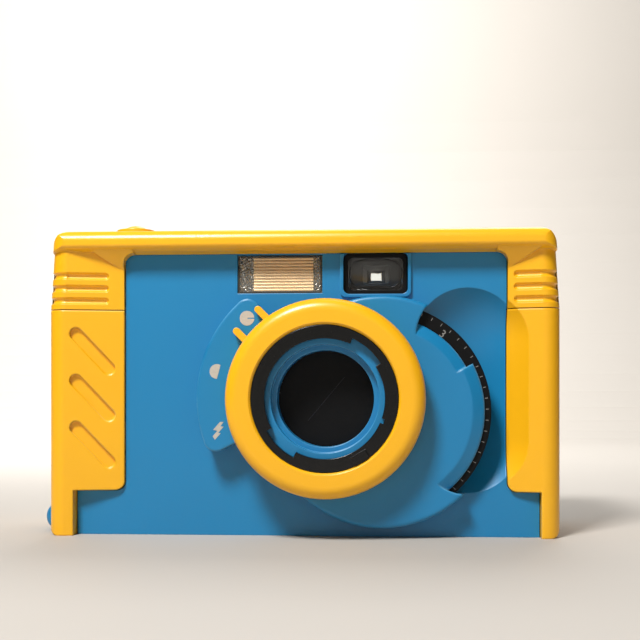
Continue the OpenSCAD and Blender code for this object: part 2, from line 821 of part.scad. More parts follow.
// Black chassis: rim, film plate, light tunnel, two film bays, hinge ears and screw bosses
module film_body() {
    rim = 2;
    plate_t = 3;
    tunnel_w = gate_w + 2 * gate_wall;
    tunnel_h = gate_h + 2 * gate_wall;
    color("#202225") difference() {
        union() {
            along_y(body_front, y_split) difference() {
                rect(-body_side, body_side, body_low, body_high);
                rect(-body_side + rim, body_side - rim, body_low + rim, body_high - rim);
            }
            along_y(film_y - plate_t, film_y) rect(-body_side, body_side, body_low, body_high);
            along_y(y_tunnel, film_y) rect(lens_x - tunnel_w / 2, lens_x + tunnel_w / 2,
                lens_z - tunnel_h / 2, lens_z + tunnel_h / 2);
            film_bay(cassette_x, cassette_y, cassette_r);
            film_bay(takeup_x, takeup_y, takeup_r);
            for (p = screw_at) rod_y(p[0], p[1], post_r, body_front, film_y);
            for (z = ear_low) hinge_ear(z);
        }
        bay_room(cassette_x, cassette_y, cassette_r);
        bay_room(takeup_x, takeup_y, takeup_r);
        along_y(y_tunnel + gate_wall, y_split + 1) rect(lens_x - gate_w / 2, lens_x + gate_w / 2,
            lens_z - gate_h / 2, lens_z + gate_h / 2);
        rod_y(lens_x, lens_z, aperture_r + 1, y_tunnel - 1, film_y);
        for (p = screw_at) rod_y(p[0], p[1], screw_r + 0.1, body_front - 1, film_y + 1);
        rod_z(cassette_x, cassette_y, shaft_r + turn, bay_top - 1, body_high + 1);
        rod_z(takeup_x, takeup_y, shaft_r + turn, bay_low - 3, body_high + 1);
        rod_z(hinge_x, hinge_y, pin_r + 0.03, 0, body_high);
    }
}

// Round wall of a film bay
module film_bay(x, y, r) {
    intersection() {
        rod_z(x, y, r + bay_wall, bay_low - bay_wall, body_high);
        block([x - 2 * r, y - 2 * r, 0], [x + 2 * r, y_split, body_high]);
    }
}

// Room inside a film bay, open to the back
module bay_room(x, y, r) {
    rod_z(x, y, r, bay_low, bay_top);
    block([x - r, y, bay_low], [x + r, y_split + 1, bay_top]);
}

module hinge_ear(z) {
    rod_z(hinge_x, hinge_y, door_t / 2 - 0.2, z, z + ear_h);
    block([hinge_x - door_t / 2 + 0.2, y_door, z], [hinge_x + door_t / 2 - 0.2, hinge_y, z + ear_h]);
    block([-body_side, y_split - 2, z], [hinge_x + door_t / 2 - 0.2, y_door + 0.1, z + ear_h]);
}

// Blue back, hinged at the left end, with a rim round its inside
module film_door() {
    rim = 2;
    color("#3088ba") difference() {
        union() {
            intersection() {
                union() {
                    block([hinge_x, rear_depth - wall, door_low], [x_right, rear_depth, door_high]);
                    along_y(y_door, rear_depth) difference() {
                        rect(hinge_x, x_right, door_low, door_high);
                        rect(hinge_x + rim, x_right - rim, door_low + rim, door_high - rim);
                    }
                }
                along_y(y_door - 1, rear_depth + 1) outline();
                along_z(0, body_h) plan(y_grip, flare);
            }
            rod_z(hinge_x, hinge_y, door_t / 2, door_low, door_high);
        }
        rod_z(hinge_x, hinge_y, pin_r + turn, 0, door_high + 1);
        for (z = ear_low) block([x_left - 1, y_door - 1, z - loose],
            [hinge_x + door_t / 2 + 0.2, rear_depth + 1, z + ear_h + loose]);
    }
}

module door_hinge_pin() {
    color("silver") rod_z(hinge_x, hinge_y, pin_r, ear_low[0], ear_low[1] + ear_h);
}

// Black plate that keeps the film flat, carried by a bowed leaf on the door
module pressure_plate() {
    half_w = gate_w / 2 + press_edge;
    half_h = gate_h / 2 + press_over;
    color("#202225") block([lens_x - half_w, film_y + press_gap, lens_z - half_h],
        [lens_x + half_w, film_y + press_gap + press_t, lens_z + half_h]);
}

module pressure_spring() {
    half = 14;
    flat = 4;
    y_low = film_y + press_gap + press_t;
    y_high = rear_depth - wall;
    leaf_w = 8;
    color("silver") translate([0, 0, lens_z - leaf_w / 2]) linear_extrude(leaf_w) polygon([
        [lens_x - half, y_high], [lens_x - half, y_high - leaf], [lens_x - flat, y_low],
        [lens_x + flat, y_low], [lens_x + half, y_high - leaf], [lens_x + half, y_high],
        [lens_x + flat, y_low + leaf], [lens_x - flat, y_low + leaf]]);
}

// Blue barrel inside the selector ring, stepped down towards the disc
module lens_barrel() {
    step_r = (bayonet_r + barrel_r) / 2;
    y_top = y_bayonet + bayonet_t;
    color("#3088ba") difference() {
        rod_y(lens_x, lens_z, barrel_out_r, y_top, y_hub);
        rod_y(lens_x, lens_z, barrel_r, y_top - 1, y_hub + 1);
        rod_y(lens_x, lens_z, step_r, y_top - 1, (y_top + y_hub) / 2);
    }
}

// Black ring for front attachments: two notches, an index nick and a knob
module bayonet_ring() {
    flange_t = 1;
    notch_r = bayonet_r + 1.4;
    knob_at = -59;
    nick_at = -21;
    nick_w = 1.2;
    color("#101214") {
        difference() {
            union() {
                rod_y(lens_x, lens_z, flange_r, y_bayonet, y_bayonet + flange_t);
                rod_y(lens_x, lens_z, barrel_out_r, y_bayonet, y_bayonet + bayonet_t);
            }
            rod_y(lens_x, lens_z, bayonet_r, y_bayonet - 1, y_bayonet + bayonet_t + 1);
            along_y(y_bayonet - 1, y_bayonet + bayonet_t + 1) translate([lens_x, lens_z])
                for (a = [32, 209]) sector(notch_r, a, a + 33);
            translate([lens_x, 0, lens_z]) rotate([0, -nick_at, 0])
                block([0, y_bayonet - 1, -nick_w / 2],
                    [bayonet_r + 0.8, y_bayonet + bayonet_t + 1, nick_w / 2]);
        }
        translate([lens_x, 0, lens_z]) rotate([0, -knob_at, 0])
            block([bayonet_r + 0.8, y_bayonet - 0.4, -2.1], [bayonet_r + 2.8, y_bayonet + 0.1, 2.1]);
    }
}

// Yellow ring that turns on the barrel, with two prongs over the icon plate
module selector_ring() {
    inner_edge = 0.5;
    prong_t = 2.1;
    color("#ffc428") {
        translate([lens_x, y_ring, lens_z]) rotate([90, 0, 0]) rotate_extrude() difference() {
            union() {
                rect(barrel_out_r + slide, ring_r - ring_edge, 0, ring_len);
                rect(barrel_out_r + slide, ring_r, 0, ring_len - ring_edge);
                translate([ring_r - ring_edge, ring_len - ring_edge]) circle(ring_edge);
            }
            rect(0, barrel_out_r + slide, -1, ring_len + 1);
            rect(0, flange_r + slide, y_ring - y_bayonet - 1 - slide, ring_len + 1);
            translate([flange_r + slide, ring_len]) rotate(45) square(inner_edge * sqrt(2), center = true);
        }
        translate([lens_x, 0, lens_z]) rotate([0, -icon_first, 0]) for (s = [-1, 1]) {
            block([ring_r - ring_edge, y_ring - prong_t - 0.2, s * prong_gap / 2 - prong_w / 2],
                [prong_r - prong_w / 2, y_ring - 0.2, s * prong_gap / 2 + prong_w / 2]);
            rod_y(prong_r - prong_w / 2, s * prong_gap / 2, prong_w / 2, y_ring - prong_t - 0.2, y_ring - 0.2);
        }
    }
}

// Flat washer that gives the ring its stiff turn
module selector_spring() {
    color("silver") difference() {
        rod_y(lens_x, lens_z, barrel_out_r + 2.2, y_hub - 0.22, y_hub - 0.02);
        rod_y(lens_x, lens_z, barrel_out_r + slide, y_hub - 1, y_hub + 1);
    }
}

// Black disc with the scale on its edge and the picture masks that pass in front of the lens
module scale_dial() {
    y_face = y_hub + hub_face + 0.2;
    boss_r = 5;
    mask_r = 7.5;
    mask_at = [-dial_dx, dial_dz];
    color("#141618") difference() {
        union() {
            rod_y(dial_x, dial_z, dial_r, y_face, y_face + dial_t);
            rod_y(dial_x, dial_z, boss_r, y_face, y_panel - loose);
        }
        rod_y(dial_x, dial_z, axle_r + turn, y_face - 1, y_panel + 1);
        along_y(y_face - 1, y_face + dial_t + 1) translate([dial_x, dial_z]) {
            rotate(90) translate(mask_at) circle(mask_r);
            rotate(180) translate(mask_at) sector(mask_r, 50, 230);
            rotate(270) translate(mask_at) sector(mask_r, -130, 50);
        }
    }
}

module dial_axle() {
    color("silver") rod_y(dial_x, dial_z, axle_r, y_hub + hub_face + 0.1, y_inside);
}

// Black holder of the taking lens; the shutter turns on its back
module lens_holder() {
    rest = 1.4;
    color("#202225") difference() {
        union() {
            rod_y(lens_x, lens_z, holder_r, y_holder, y_shutter);
            rod_y(lens_x + pivot_dx, lens_z + pivot_dz, pivot_boss, y_shutter, y_blade - seam);
        }
        rod_y(lens_x, lens_z, glass_r + 0.05, y_holder - 1, y_shutter - rest);
        rod_y(lens_x, lens_z, aperture_r - 0.2, y_holder - 1, y_shutter + 1);
        rod_y(lens_x + pivot_dx, lens_z + pivot_dz, pivot_r + 0.02, y_shutter - 2, y_shutter + 3);
    }
}

// Glass lens, flat behind and domed in front
module taking_lens() {
    rise = 1.4;
    edge = 1.6;
    y_back = y_holder + holder_t - 1.4;
    ball = (glass_r * glass_r + rise * rise) / (2 * rise);
    color("lightcyan") intersection() {
        rod_y(lens_x, lens_z, glass_r, y_back - edge - rise, y_back);
        translate([lens_x, y_back - edge - rise + ball, lens_z]) sphere(ball);
    }
}

// Thin blade that covers the lens opening, with a tail for the release bar
module shutter_blade() {
    reach = sqrt(pivot_dx * pivot_dx + pivot_dz * pivot_dz);
    arm_w = 3.4;
    tail_w = 1.6;
    tail = 6;
    color("#3a3d42") difference() {
        along_y(y_blade, y_blade + blade_t) translate([lens_x + pivot_dx, lens_z + pivot_dz]) {
            circle(pivot_boss + 0.6);
            rotate(-45) rect(0, reach, -arm_w / 2, arm_w / 2);
            translate([-pivot_dx, -pivot_dz]) circle(aperture_r + 0.8);
            rect(-tail, 0, -tail_w / 2, tail_w / 2);
        }
        rod_y(lens_x + pivot_dx, lens_z + pivot_dz, pivot_r + turn, y_blade - 1, y_blade + 2);
    }
}

module shutter_pivot() {
    color("silver") rod_y(lens_x + pivot_dx, lens_z + pivot_dz, pivot_r, y_shutter - 1.8, y_tunnel - seam);
}

// Small torsion spring round the pivot's boss
module shutter_spring() {
    color("silver") difference() {
        rod_y(lens_x + pivot_dx, lens_z + pivot_dz, pivot_boss + 0.8, y_shutter + 0.1, y_shutter + 1.1);
        rod_y(lens_x + pivot_dx, lens_z + pivot_dz, pivot_boss + 0.1, y_shutter - 1, y_shutter + 2);
    }
}

// Yellow button with a domed top, a flange under the roof and a stem through the shelf
module shutter_button() {
    dome = 0.9;
    ball = (button_r * button_r + dome * dome) / (2 * dome);
    color("#ffc428") {
        intersection() {
            rod_z(button_x, button_y, button_r, z_flange, button_top);
            translate([button_x, button_y, button_top - ball]) sphere(ball);
        }
        rod_z(button_x, button_y, button_r, z_flange, button_top - dome - 0.2);
        rod_z(button_x, button_y, button_r + 1.2, z_flange, z_flange + flange_h);
        rod_z(button_x, button_y, stem_r, z_bar + bar_h, z_flange + 1);
    }
}

// Return spring between the shelf and the button's flange
module button_spring() {
    color("silver") difference() {
        rod_z(button_x, button_y, stem_r + 1.2, z_shelf + shelf_h, z_flange);
        rod_z(button_x, button_y, stem_r + 0.4, z_shelf, z_flange + 1);
    }
}

// Bar from the button's stem to a toe over the shutter blade's tail
module release_bar() {
    color("#3a3d42") {
        block([button_x - stem_r, bar_y, z_bar], [toe_x + toe_half, bar_y + bar_w, z_bar + bar_h]);
        block([button_x - stem_r, bar_y, z_bar], [button_x + stem_r, button_y + stem_r, z_bar + bar_h]);
        block([toe_x - toe_half, bar_y, toe_z], [toe_x + toe_half, bar_y + bar_w, z_bar + bar_h / 2]);
        block([toe_x - toe_half, bar_y, toe_z], [toe_x + toe_half, y_blade + blade_t, toe_z + toe_h]);
    }
}

// Black finder: a wide front box, a frame and a narrow tube to the eyepiece
module finder_tube() {
    y_front = y_panel + 0.6;
    y_frame = y_front + finder_front_len;
    y_end = rear_depth - wall - 3.2;
    color("#141618") difference() {
        union() {
            along_y(y_front, y_frame) finder_opening(0);
            along_y(y_frame, y_end) finder_frame(frame_w + 2 * finder_wall, frame_h + 2 * finder_wall);
        }
        along_y(y_front - 1, y_frame - finder_wall) finder_opening(-finder_wall);
        along_y(y_front, y_end - finder_wall) finder_frame(frame_w, frame_h);
        along_y(y_front, y_end + 1) finder_frame(eye_w, eye_h);
    }
}

module finder_lens() {
    y_front = y_panel + 0.9;
    color("lightcyan") along_y(y_front, y_front + 1.2) finder_opening(-finder_wall - 0.05);
}

// Glass of the eyepiece, held between the finder tube and the rear wall
module eyepiece() {
    y_end = rear_depth - wall;
    color("lightcyan") along_y(y_end - 3, y_end - 0.2) finder_frame(eye_w + 2, eye_h + 2);
}

// Clear flash window with level ribs
module flash_window() {
    ribs = 9;
    rib_r = 0.35;
    pitch = (flash_h - 2 * rib_r) / ribs;
    color("whitesmoke") {
        along_y(y_panel + 0.1, y_inside) flash_opening(0);
        for (i = [0:ribs]) rod_x(y_panel + 0.1, window_z - flash_h / 2 + rib_r + i * pitch, rib_r,
            flash_x - flash_w / 2, flash_x + flash_w / 2);
    }
}

// Bright trough behind the window
module flash_reflector() {
    skin = 0.6;
    depth = 8;
    y_front = y_inside + seam;
    color("gainsboro") difference() {
        along_y(y_front, y_front + depth) flash_opening(0.2);
        along_y(y_front - 1, y_front + depth - skin) flash_opening(0.2 - skin);
    }
}

module flash_tube() {
    tube_r = 1.2;
    half = flash_w / 2 - 0.6;
    color("whitesmoke") rod_x(y_inside + tube_in, window_z, tube_r, flash_x - half, flash_x + half);
}

// Circuit board in front of the take-up bay
module flash_board() {
    board_t = 1.4;
    y_back = takeup_y - takeup_r - bay_wall - loose;
    color("seagreen") block([panel_left + wall + 1.6, y_back - board_t, cap_top + 2],
        [takeup_x + takeup_r + loose, y_back, z_bar - press - 1]);
}

module flash_capacitor() {
    x_low = panel_left + wall + 1.6;
    color("#26282c") rod_x(y_inside + cap_r + 0.7, cap_top - cap_r, cap_r, x_low, x_low + cap_len);
}

module ready_lamp() {
    color("orangered") rod_y(lamp_x, window_z, lamp_r, rear_depth - wall - 1.5, rear_depth + 0.3);
}

// Round cell with its raised pole at the top
module battery() {
    pole_r = 2.7;
    pole_h = 1;
    color("#8a8f96") {
        rod_z(cell_x, cell_y, cell_r, z_cell, z_cell + cell_len - pole_h);
        rod_z(cell_x, cell_y, pole_r, z_cell, z_cell + cell_len);
    }
}

// Black case of the cell, with rails below for its sliding cover
module battery_case() {
    rail = 0.8;
    lip_h = 0.5;
    color("#202225") difference() {
        union() {
            block([cell_x - case_side, cell_y - case_side, z_case],
                [cell_x + case_side, cell_y + case_side, case_top]);
            for (s = [-1, 1]) {
                edge = cell_y + s * case_side;
                block([cell_x - case_side, min(edge, edge - s * rail), loose],
                    [cell_x + case_side, max(edge, edge - s * rail), z_case + 0.1]);
                block([cell_x - case_side, min(edge, edge - s * 2 * rail), loose],
                    [cell_x + case_side, max(edge, edge - s * 2 * rail), loose + lip_h]);
            }
        }
        rod_z(cell_x, cell_y, case_r, 0, case_top - case_lid);
    }
}

module battery_contact() {
    color("silver") rod_z(cell_x, cell_y, contact_r, z_cell + cell_len + 0.1, z_cell + cell_len + 0.1 + leaf);
}

// Blue cover that slides out to the left; its finger tab stands up beside the grip
module battery_cover() {
    tab_t = 1.8;
    side = case_side - 0.8 - 0.2;
    x_end = x_left - seam;
    color("#3088ba") difference() {
        union() {
            block([x_end, cell_y - side, tray_z], [cell_x + case_side + 0.6, cell_y + side, tray_z + tray_t]);
            block([x_end, cell_y - side + 1, tray_z - tray_foot],
                [cell_x + case_side + 0.6, cell_y + side - 1, tray_z + 0.1]);
            block([x_end - tab_t, cell_y - tab_w / 2, tray_z - tray_foot],
                [x_end, cell_y + tab_w / 2, tray_z - tray_foot + tab_h]);
        }
        rod_z(cell_x, cell_y, contact_r + 0.05, tray_z + tray_t - leaf - 0.02, tray_z + tray_t + 1);
    }
}

module cover_contact() {
    color("silver") rod_z(cell_x, cell_y, contact_r, tray_z + tray_t - leaf, tray_z + tray_t);
}

// Take-up spool with two flanges and a shaft up to the wheel
module take_up_spool() {
    core_r = 5;
    rim_r = takeup_r - 1;
    rim_h = 1.4;
    color("#202225") {
        rod_z(takeup_x, takeup_y, core_r, bay_low + loose, bay_top - loose);
        for (z = [bay_low + loose, bay_top - loose - rim_h]) rod_z(takeup_x, takeup_y, rim_r, z, z + rim_h);
        rod_z(takeup_x, takeup_y, shaft_r, bay_low - 1.6, z_wheel + wheel_h + 0.5);
    }
}

// Wheel whose edge comes out of the rear wall for the thumb
module advance_wheel() {
    color("#202225") difference() {
        rod_z(takeup_x, takeup_y, wheel_r, z_wheel, z_wheel + wheel_h);
        rod_z(takeup_x, takeup_y, shaft_r + 0.02, z_wheel - 1, z_wheel + wheel_h + 1);
    }
}

// Shaft with a forked end for the film cassette
module rewind_shaft() {
    fork_r = 4;
    fork_h = 4;
    slot = 2.4;
    color("#202225") difference() {
        union() {
            rod_z(cassette_x, cassette_y, shaft_r, bay_top - fork_h, body_h + 2);
            rod_z(cassette_x, cassette_y, fork_r, bay_top - fork_h, bay_top - loose);
        }
        block([cassette_x - slot / 2, cassette_y - fork_r - 1, bay_top - fork_h - 1],
            [cassette_x + slot / 2, cassette_y + fork_r + 1, bay_top - 1.6]);
    }
}

module rewind_knob() {
    color("#ffc428") difference() {
        rod_z(cassette_x, cassette_y, knob_r, body_h + loose, body_h + loose + knob_h);
        rod_z(cassette_x, cassette_y, shaft_r + 0.02, body_h, body_h + 2.1);
    }
}

// Four case screws from the back through the chassis into the front cover
module screws() {
    color("silver") for (p = screw_at) {
        rod_y(p[0], p[1], screw_r, body_front - screw_bite, film_y + head_h / 2);
        rod_y(p[0], p[1], head_r, film_y + 0.02, film_y + head_h);
    }
}

front_cover();
hub_cover();
top_cover();
left_grip();
right_grip();
film_body();
film_door();
door_hinge_pin();
pressure_plate();
pressure_spring();
lens_barrel();
bayonet_ring();
selector_ring();
selector_spring();
scale_dial();
dial_axle();
lens_holder();
taking_lens();
shutter_blade();
shutter_pivot();
shutter_spring();
shutter_button();
button_spring();
release_bar();
finder_tube();
finder_lens();
eyepiece();
flash_window();
flash_reflector();
flash_tube();
flash_board();
flash_capacitor();
ready_lamp();
battery();
battery_case();
battery_contact();
battery_cover();
cover_contact();
take_up_spool();
advance_wheel();
rewind_shaft();
rewind_knob();
screws();
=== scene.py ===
"""Children's film camera: fine pieces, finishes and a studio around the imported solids."""

import json
import math

import bmesh
import bpy
import numpy as np
from bpy.props import FloatProperty, IntProperty, PointerProperty, StringProperty
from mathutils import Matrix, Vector


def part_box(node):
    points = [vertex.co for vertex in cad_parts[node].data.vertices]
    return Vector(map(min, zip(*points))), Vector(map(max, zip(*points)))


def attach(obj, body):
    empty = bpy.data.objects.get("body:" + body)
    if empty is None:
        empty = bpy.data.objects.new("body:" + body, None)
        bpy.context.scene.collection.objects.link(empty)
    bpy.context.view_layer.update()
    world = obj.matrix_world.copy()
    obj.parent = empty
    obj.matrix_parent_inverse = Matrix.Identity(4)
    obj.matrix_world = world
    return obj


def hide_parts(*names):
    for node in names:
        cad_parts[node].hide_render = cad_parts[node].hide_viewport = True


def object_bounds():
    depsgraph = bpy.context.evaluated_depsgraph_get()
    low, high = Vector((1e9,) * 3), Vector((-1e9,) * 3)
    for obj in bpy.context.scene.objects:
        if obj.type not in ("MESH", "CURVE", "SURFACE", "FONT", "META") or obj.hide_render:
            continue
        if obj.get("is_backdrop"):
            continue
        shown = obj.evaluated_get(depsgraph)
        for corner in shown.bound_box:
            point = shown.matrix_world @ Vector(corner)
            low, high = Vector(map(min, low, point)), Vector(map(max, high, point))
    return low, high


bl_info = {
    "name": "Toy Film Camera",
    "version": (1, 0, 0),
    "blender": (4, 5, 0),
    "location": "View3D > Sidebar > Toy Camera",
    "description": "Fine pieces, finishes and a studio for a children's film camera",
    "category": "Object",
}

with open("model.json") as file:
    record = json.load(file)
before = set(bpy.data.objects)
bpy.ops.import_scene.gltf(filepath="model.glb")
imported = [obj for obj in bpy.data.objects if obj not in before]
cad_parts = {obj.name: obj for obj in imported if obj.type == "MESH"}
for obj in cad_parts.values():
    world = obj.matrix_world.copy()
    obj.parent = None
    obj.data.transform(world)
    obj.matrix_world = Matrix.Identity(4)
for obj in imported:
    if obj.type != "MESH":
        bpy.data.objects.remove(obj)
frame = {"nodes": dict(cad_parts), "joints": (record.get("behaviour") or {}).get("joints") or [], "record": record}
CAD_LOW, CAD_HIGH = (list(corner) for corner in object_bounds())

MM = 0.001
JOINTS = {joint["name"]: joint for joint in frame["joints"]}
SLOT_OF = {part["node"]: part["material_slot"] for part in frame["record"]["subparts"]}
# mouldings whose edges are rounder than the rest, with a wider pale edge band that is partly wear and partly
# painted highlight
SOFT_EDGED = {
    "hub_cover": "soft_blue_abs", "left_grip": "soft_yellow_abs", "right_grip": "soft_yellow_abs"}
MIDDLE = (0, 0, 0.5 * CAD_HIGH[2])
# name, place and the point it faces, side of the square, all in metres, and watts
LAMPS = (
    ("key_lamp", (-0.17, -0.36, 0.52), MIDDLE, 0.14, 4.8),
    ("fill_lamp", (0.6, -0.95, 0.3), MIDDLE, 0.8, 0.25),
    ("back_lamp", (0.1, 0.55, 0.9), MIDDLE, 0.5, 4.5),
    ("wall_lamp", (-0.25, 0.3, 0.55), (-0.15, 0.9, 0.25), 0.5, 9.0),
    ("front_wall_lamp", (0, -1.2, 1.3), (0, -3.0, 0.5), 1.2, 45.0),
)
FINISHES = {}


def axis_point(joint):
    """The point on a joint's axis that the frame gives, in metres."""
    return np.array(JOINTS[joint]["pos_m"], float)


def corners(node):
    """Lowest and highest corner of a solid as arrays."""
    low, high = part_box(node)
    return np.array(low), np.array(high)


# Colours and nodes


def linear(hex_colour):
    """sRGB hex to linear RGBA: below 0.04045 a straight line, above it the 2.4 power curve."""
    srgb = np.array([int(hex_colour[i:i + 2], 16) for i in (1, 3, 5)]) / 255
    rgb = np.where(srgb <= 0.04045, srgb / 12.92, ((srgb + 0.055) / 1.055) ** 2.4)
    return (*rgb.tolist(), 1.0)


def per_mm(size):
    """Texture scale at which one feature is this many millimetres wide."""
    return 1 / (size * MM)


def put(tree, kind, inputs=None, **settings):
    """Adds a node with its settings; an input is a value, or a socket to link from."""
    node = tree.nodes.new("ShaderNode" + kind)
    for key, value in settings.items():
        setattr(node, key, value)
    for key, value in (inputs or {}).items():
        if isinstance(value, bpy.types.NodeSocket):
            tree.links.new(value, node.inputs[key])
        else:
            node.inputs[key].default_value = value
    return node


def blank(name):
    """A material with an empty tree and its output, and object coordinates to start from."""
    material = bpy.data.materials.new(name)
    material.use_nodes = True
    tree = material.node_tree
    tree.nodes.clear()
    output = put(tree, "OutputMaterial")
    place = put(tree, "TexCoord").outputs["Object"]
    return material, tree, output, place


# Finishes


def moulded_abs(name, colour, wear_and_highlight, roughness, bite, shine=0.5, edge=None):
    """ABS from a steel mould: a faint orange peel, a fine spark grain whose depth is bite, soft edges
    painted paler in patches, partly as wear and partly as a painted highlight of the rounded edges,
    and hairline rubs that break up the gloss; shine is its specular level.
    Grain and rubs are drawn some five times coarser than real ones, so that they show."""
    looks = bpy.context.scene.toy_camera
    material, tree, output, place = blank(name)
    peel = put(tree, "TexNoise", {"Vector": place, "Scale": per_mm(4), "Detail": 2})
    grain = put(tree, "TexNoise", {"Vector": place, "Scale": per_mm(0.45), "Detail": 3})
    cloud = put(tree, "TexNoise", {"Vector": place, "Scale": per_mm(22), "Detail": 4})
    combed = put(tree, "Mapping", {"Vector": place, "Rotation": (0.3, 0.5, 0.2), "Scale": (1, 0.06, 0.3)})
    hairs = put(tree, "TexNoise", {"Vector": combed.outputs[0], "Scale": per_mm(0.3), "Detail": 2})
    rubs = put(tree, "MapRange", {
        "Value": hairs.outputs["Fac"], "From Min": 0.62, "From Max": 0.72, "To Min": 0, "To Max": 0.1})
    soft = put(tree, "Bevel", {"Radius": edge or looks.edge}, samples=8)
    facing = put(tree, "NewGeometry").outputs["Normal"]
    alike = put(tree, "VectorMath", {0: soft.outputs[0], 1: facing}, operation="DOT_PRODUCT")
    # paler edge band, partly wear and partly a painted highlight of the rounded edges; a larger bevel radius
    # widens it
    rim = put(tree, "MapRange", {
        "Value": alike.outputs["Value"], "From Min": 0.97, "From Max": 0.75, "To Min": 0, "To Max": 0.7})
    patch = put(tree, "MapRange", {"Value": cloud.outputs["Fac"], "From Min": 0.4, "From Max": 0.65})
    wear_and_highlight_mask = put(tree, "Math", {0: rim.outputs[0], 1: patch.outputs[0]}, operation="MULTIPLY")
    shade = put(tree, "HueSaturation", {"Color": linear(colour), "Value": 0.93})
    tint = put(tree, "Mix", {0: cloud.outputs["Fac"], 6: shade.outputs[0], 7: linear(colour)},
               data_type="RGBA")
    paint = put(tree, "Mix", {0: wear_and_highlight_mask.outputs[0], 6: tint.outputs[2], 7: linear(wear_and_highlight)}, data_type="RGBA")
    dull = put(tree, "MapRange", {
        "Value": grain.outputs["Fac"], "To Min": roughness - 0.05, "To Max": roughness + 0.05})
    rough = put(tree, "Math", {0: dull.outputs[0], 1: rubs.outputs[0]}, operation="ADD")
    waves = put(tree, "Bump", {
        "Height": peel.outputs["Fac"], "Distance": 0.03 * MM, "Normal": soft.outputs[0]})
    pores = put(tree, "Bump", {
        "Height": grain.outputs["Fac"], "Distance": bite * MM, "Normal": waves.outputs[0]})
    shader = put(tree, "BsdfPrincipled", {
        "Base Color": paint.outputs[2], "Roughness": rough.outputs[0], "IOR": 1.54,
        "Specular IOR Level": shine, "Normal": pores.outputs[0]})
    tree.links.new(shader.outputs[0], output.inputs[0])
    return material


def plated_steel(name, colour, roughness):
    """Drawn or stamped steel with nickel: fine drawing lines, a little cloud in the gloss."""
    material, tree, output, place = blank(name)
    drawn = put(tree, "Mapping", {"Vector": place, "Scale": (1, 1, 0.04)})
    lines = put(tree, "TexNoise", {"Vector": drawn.outputs[0], "Scale": per_mm(0.15), "Detail": 3})
    cloud = put(tree, "TexNoise", {"Vector": place, "Scale": per_mm(3), "Detail": 3})
    tint = put(tree, "HueSaturation", {"Color": linear(colour), "Value": 0.8})
    paint = put(tree, "Mix", {0: cloud.outputs["Fac"], 6: tint.outputs[0], 7: linear(colour)},
                data_type="RGBA")
    rough = put(tree, "MapRange", {
        "Value": lines.outputs["Fac"], "To Min": roughness - 0.08, "To Max": roughness + 0.12})
    bump = put(tree, "Bump", {"Height": lines.outputs["Fac"], "Distance": 0.005 * MM})
    shader = put(tree, "BsdfPrincipled", {
        "Base Color": paint.outputs[2], "Metallic": 1, "Roughness": rough.outputs[0],
        "Normal": bump.outputs[0]})
    tree.links.new(shader.outputs[0], output.inputs[0])
    return material


def crinkled_foil(name, colour):
    """Bright aluminium foil pressed by hand: flat facets 1.6 mm wide that tilt the mirror."""
    material, tree, output, place = blank(name)
    facets = put(tree, "TexVoronoi", {"Vector": place, "Scale": per_mm(1.6)}, feature="F1")
    folds = put(tree, "TexNoise", {"Vector": place, "Scale": per_mm(0.8), "Detail": 4})
    bump = put(tree, "Bump", {"Height": facets.outputs["Distance"], "Distance": 0.35 * MM})
    fine = put(tree, "Bump", {
        "Height": folds.outputs["Fac"], "Distance": 0.12 * MM, "Normal": bump.outputs[0]})
    rough = put(tree, "MapRange", {"Value": folds.outputs["Fac"], "To Min": 0.12, "To Max": 0.3})
    shader = put(tree, "BsdfPrincipled", {
        "Base Color": linear(colour), "Metallic": 1, "Roughness": rough.outputs[0],
        "Normal": fine.outputs[0]})
    tree.links.new(shader.outputs[0], output.inputs[0])
    return material


def clear_plastic(name, colour, roughness, ior):
    """Clear moulded plastic or drawn glass: flow lines a few millimetres long bend what is behind."""
    material, tree, output, place = blank(name)
    flow = put(tree, "TexNoise", {"Vector": place, "Scale": per_mm(2.5), "Detail": 2})
    haze = put(tree, "TexNoise", {"Vector": place, "Scale": per_mm(0.6), "Detail": 3})
    bump = put(tree, "Bump", {"Height": flow.outputs["Fac"], "Distance": 0.02 * MM})
    rough = put(tree, "MapRange", {
        "Value": haze.outputs["Fac"], "To Min": roughness, "To Max": roughness + 0.04})
    shader = put(tree, "BsdfPrincipled", {
        "Base Color": linear(colour), "Transmission Weight": 1, "IOR": ior,
        "Roughness": rough.outputs[0], "Normal": bump.outputs[0]})
    tree.links.new(shader.outputs[0], output.inputs[0])
    return material


def thin_clear(name, colour, cover, roughness):
    """A thin clear window: most light goes straight through, the face keeps its gloss and fine scuffs."""
    material, tree, output, place = blank(name)
    scuffs = put(tree, "TexNoise", {"Vector": place, "Scale": per_mm(0.5), "Detail": 4})
    rough = put(tree, "MapRange", {
        "Value": scuffs.outputs["Fac"], "To Min": roughness, "To Max": roughness + 0.1})
    bump = put(tree, "Bump", {"Height": scuffs.outputs["Fac"], "Distance": 0.004 * MM})
    shader = put(tree, "BsdfPrincipled", {
        "Base Color": linear(colour), "Roughness": rough.outputs[0], "IOR": 1.49, "Alpha": cover,
        "Normal": bump.outputs[0]})
    tree.links.new(shader.outputs[0], output.inputs[0])
    return material


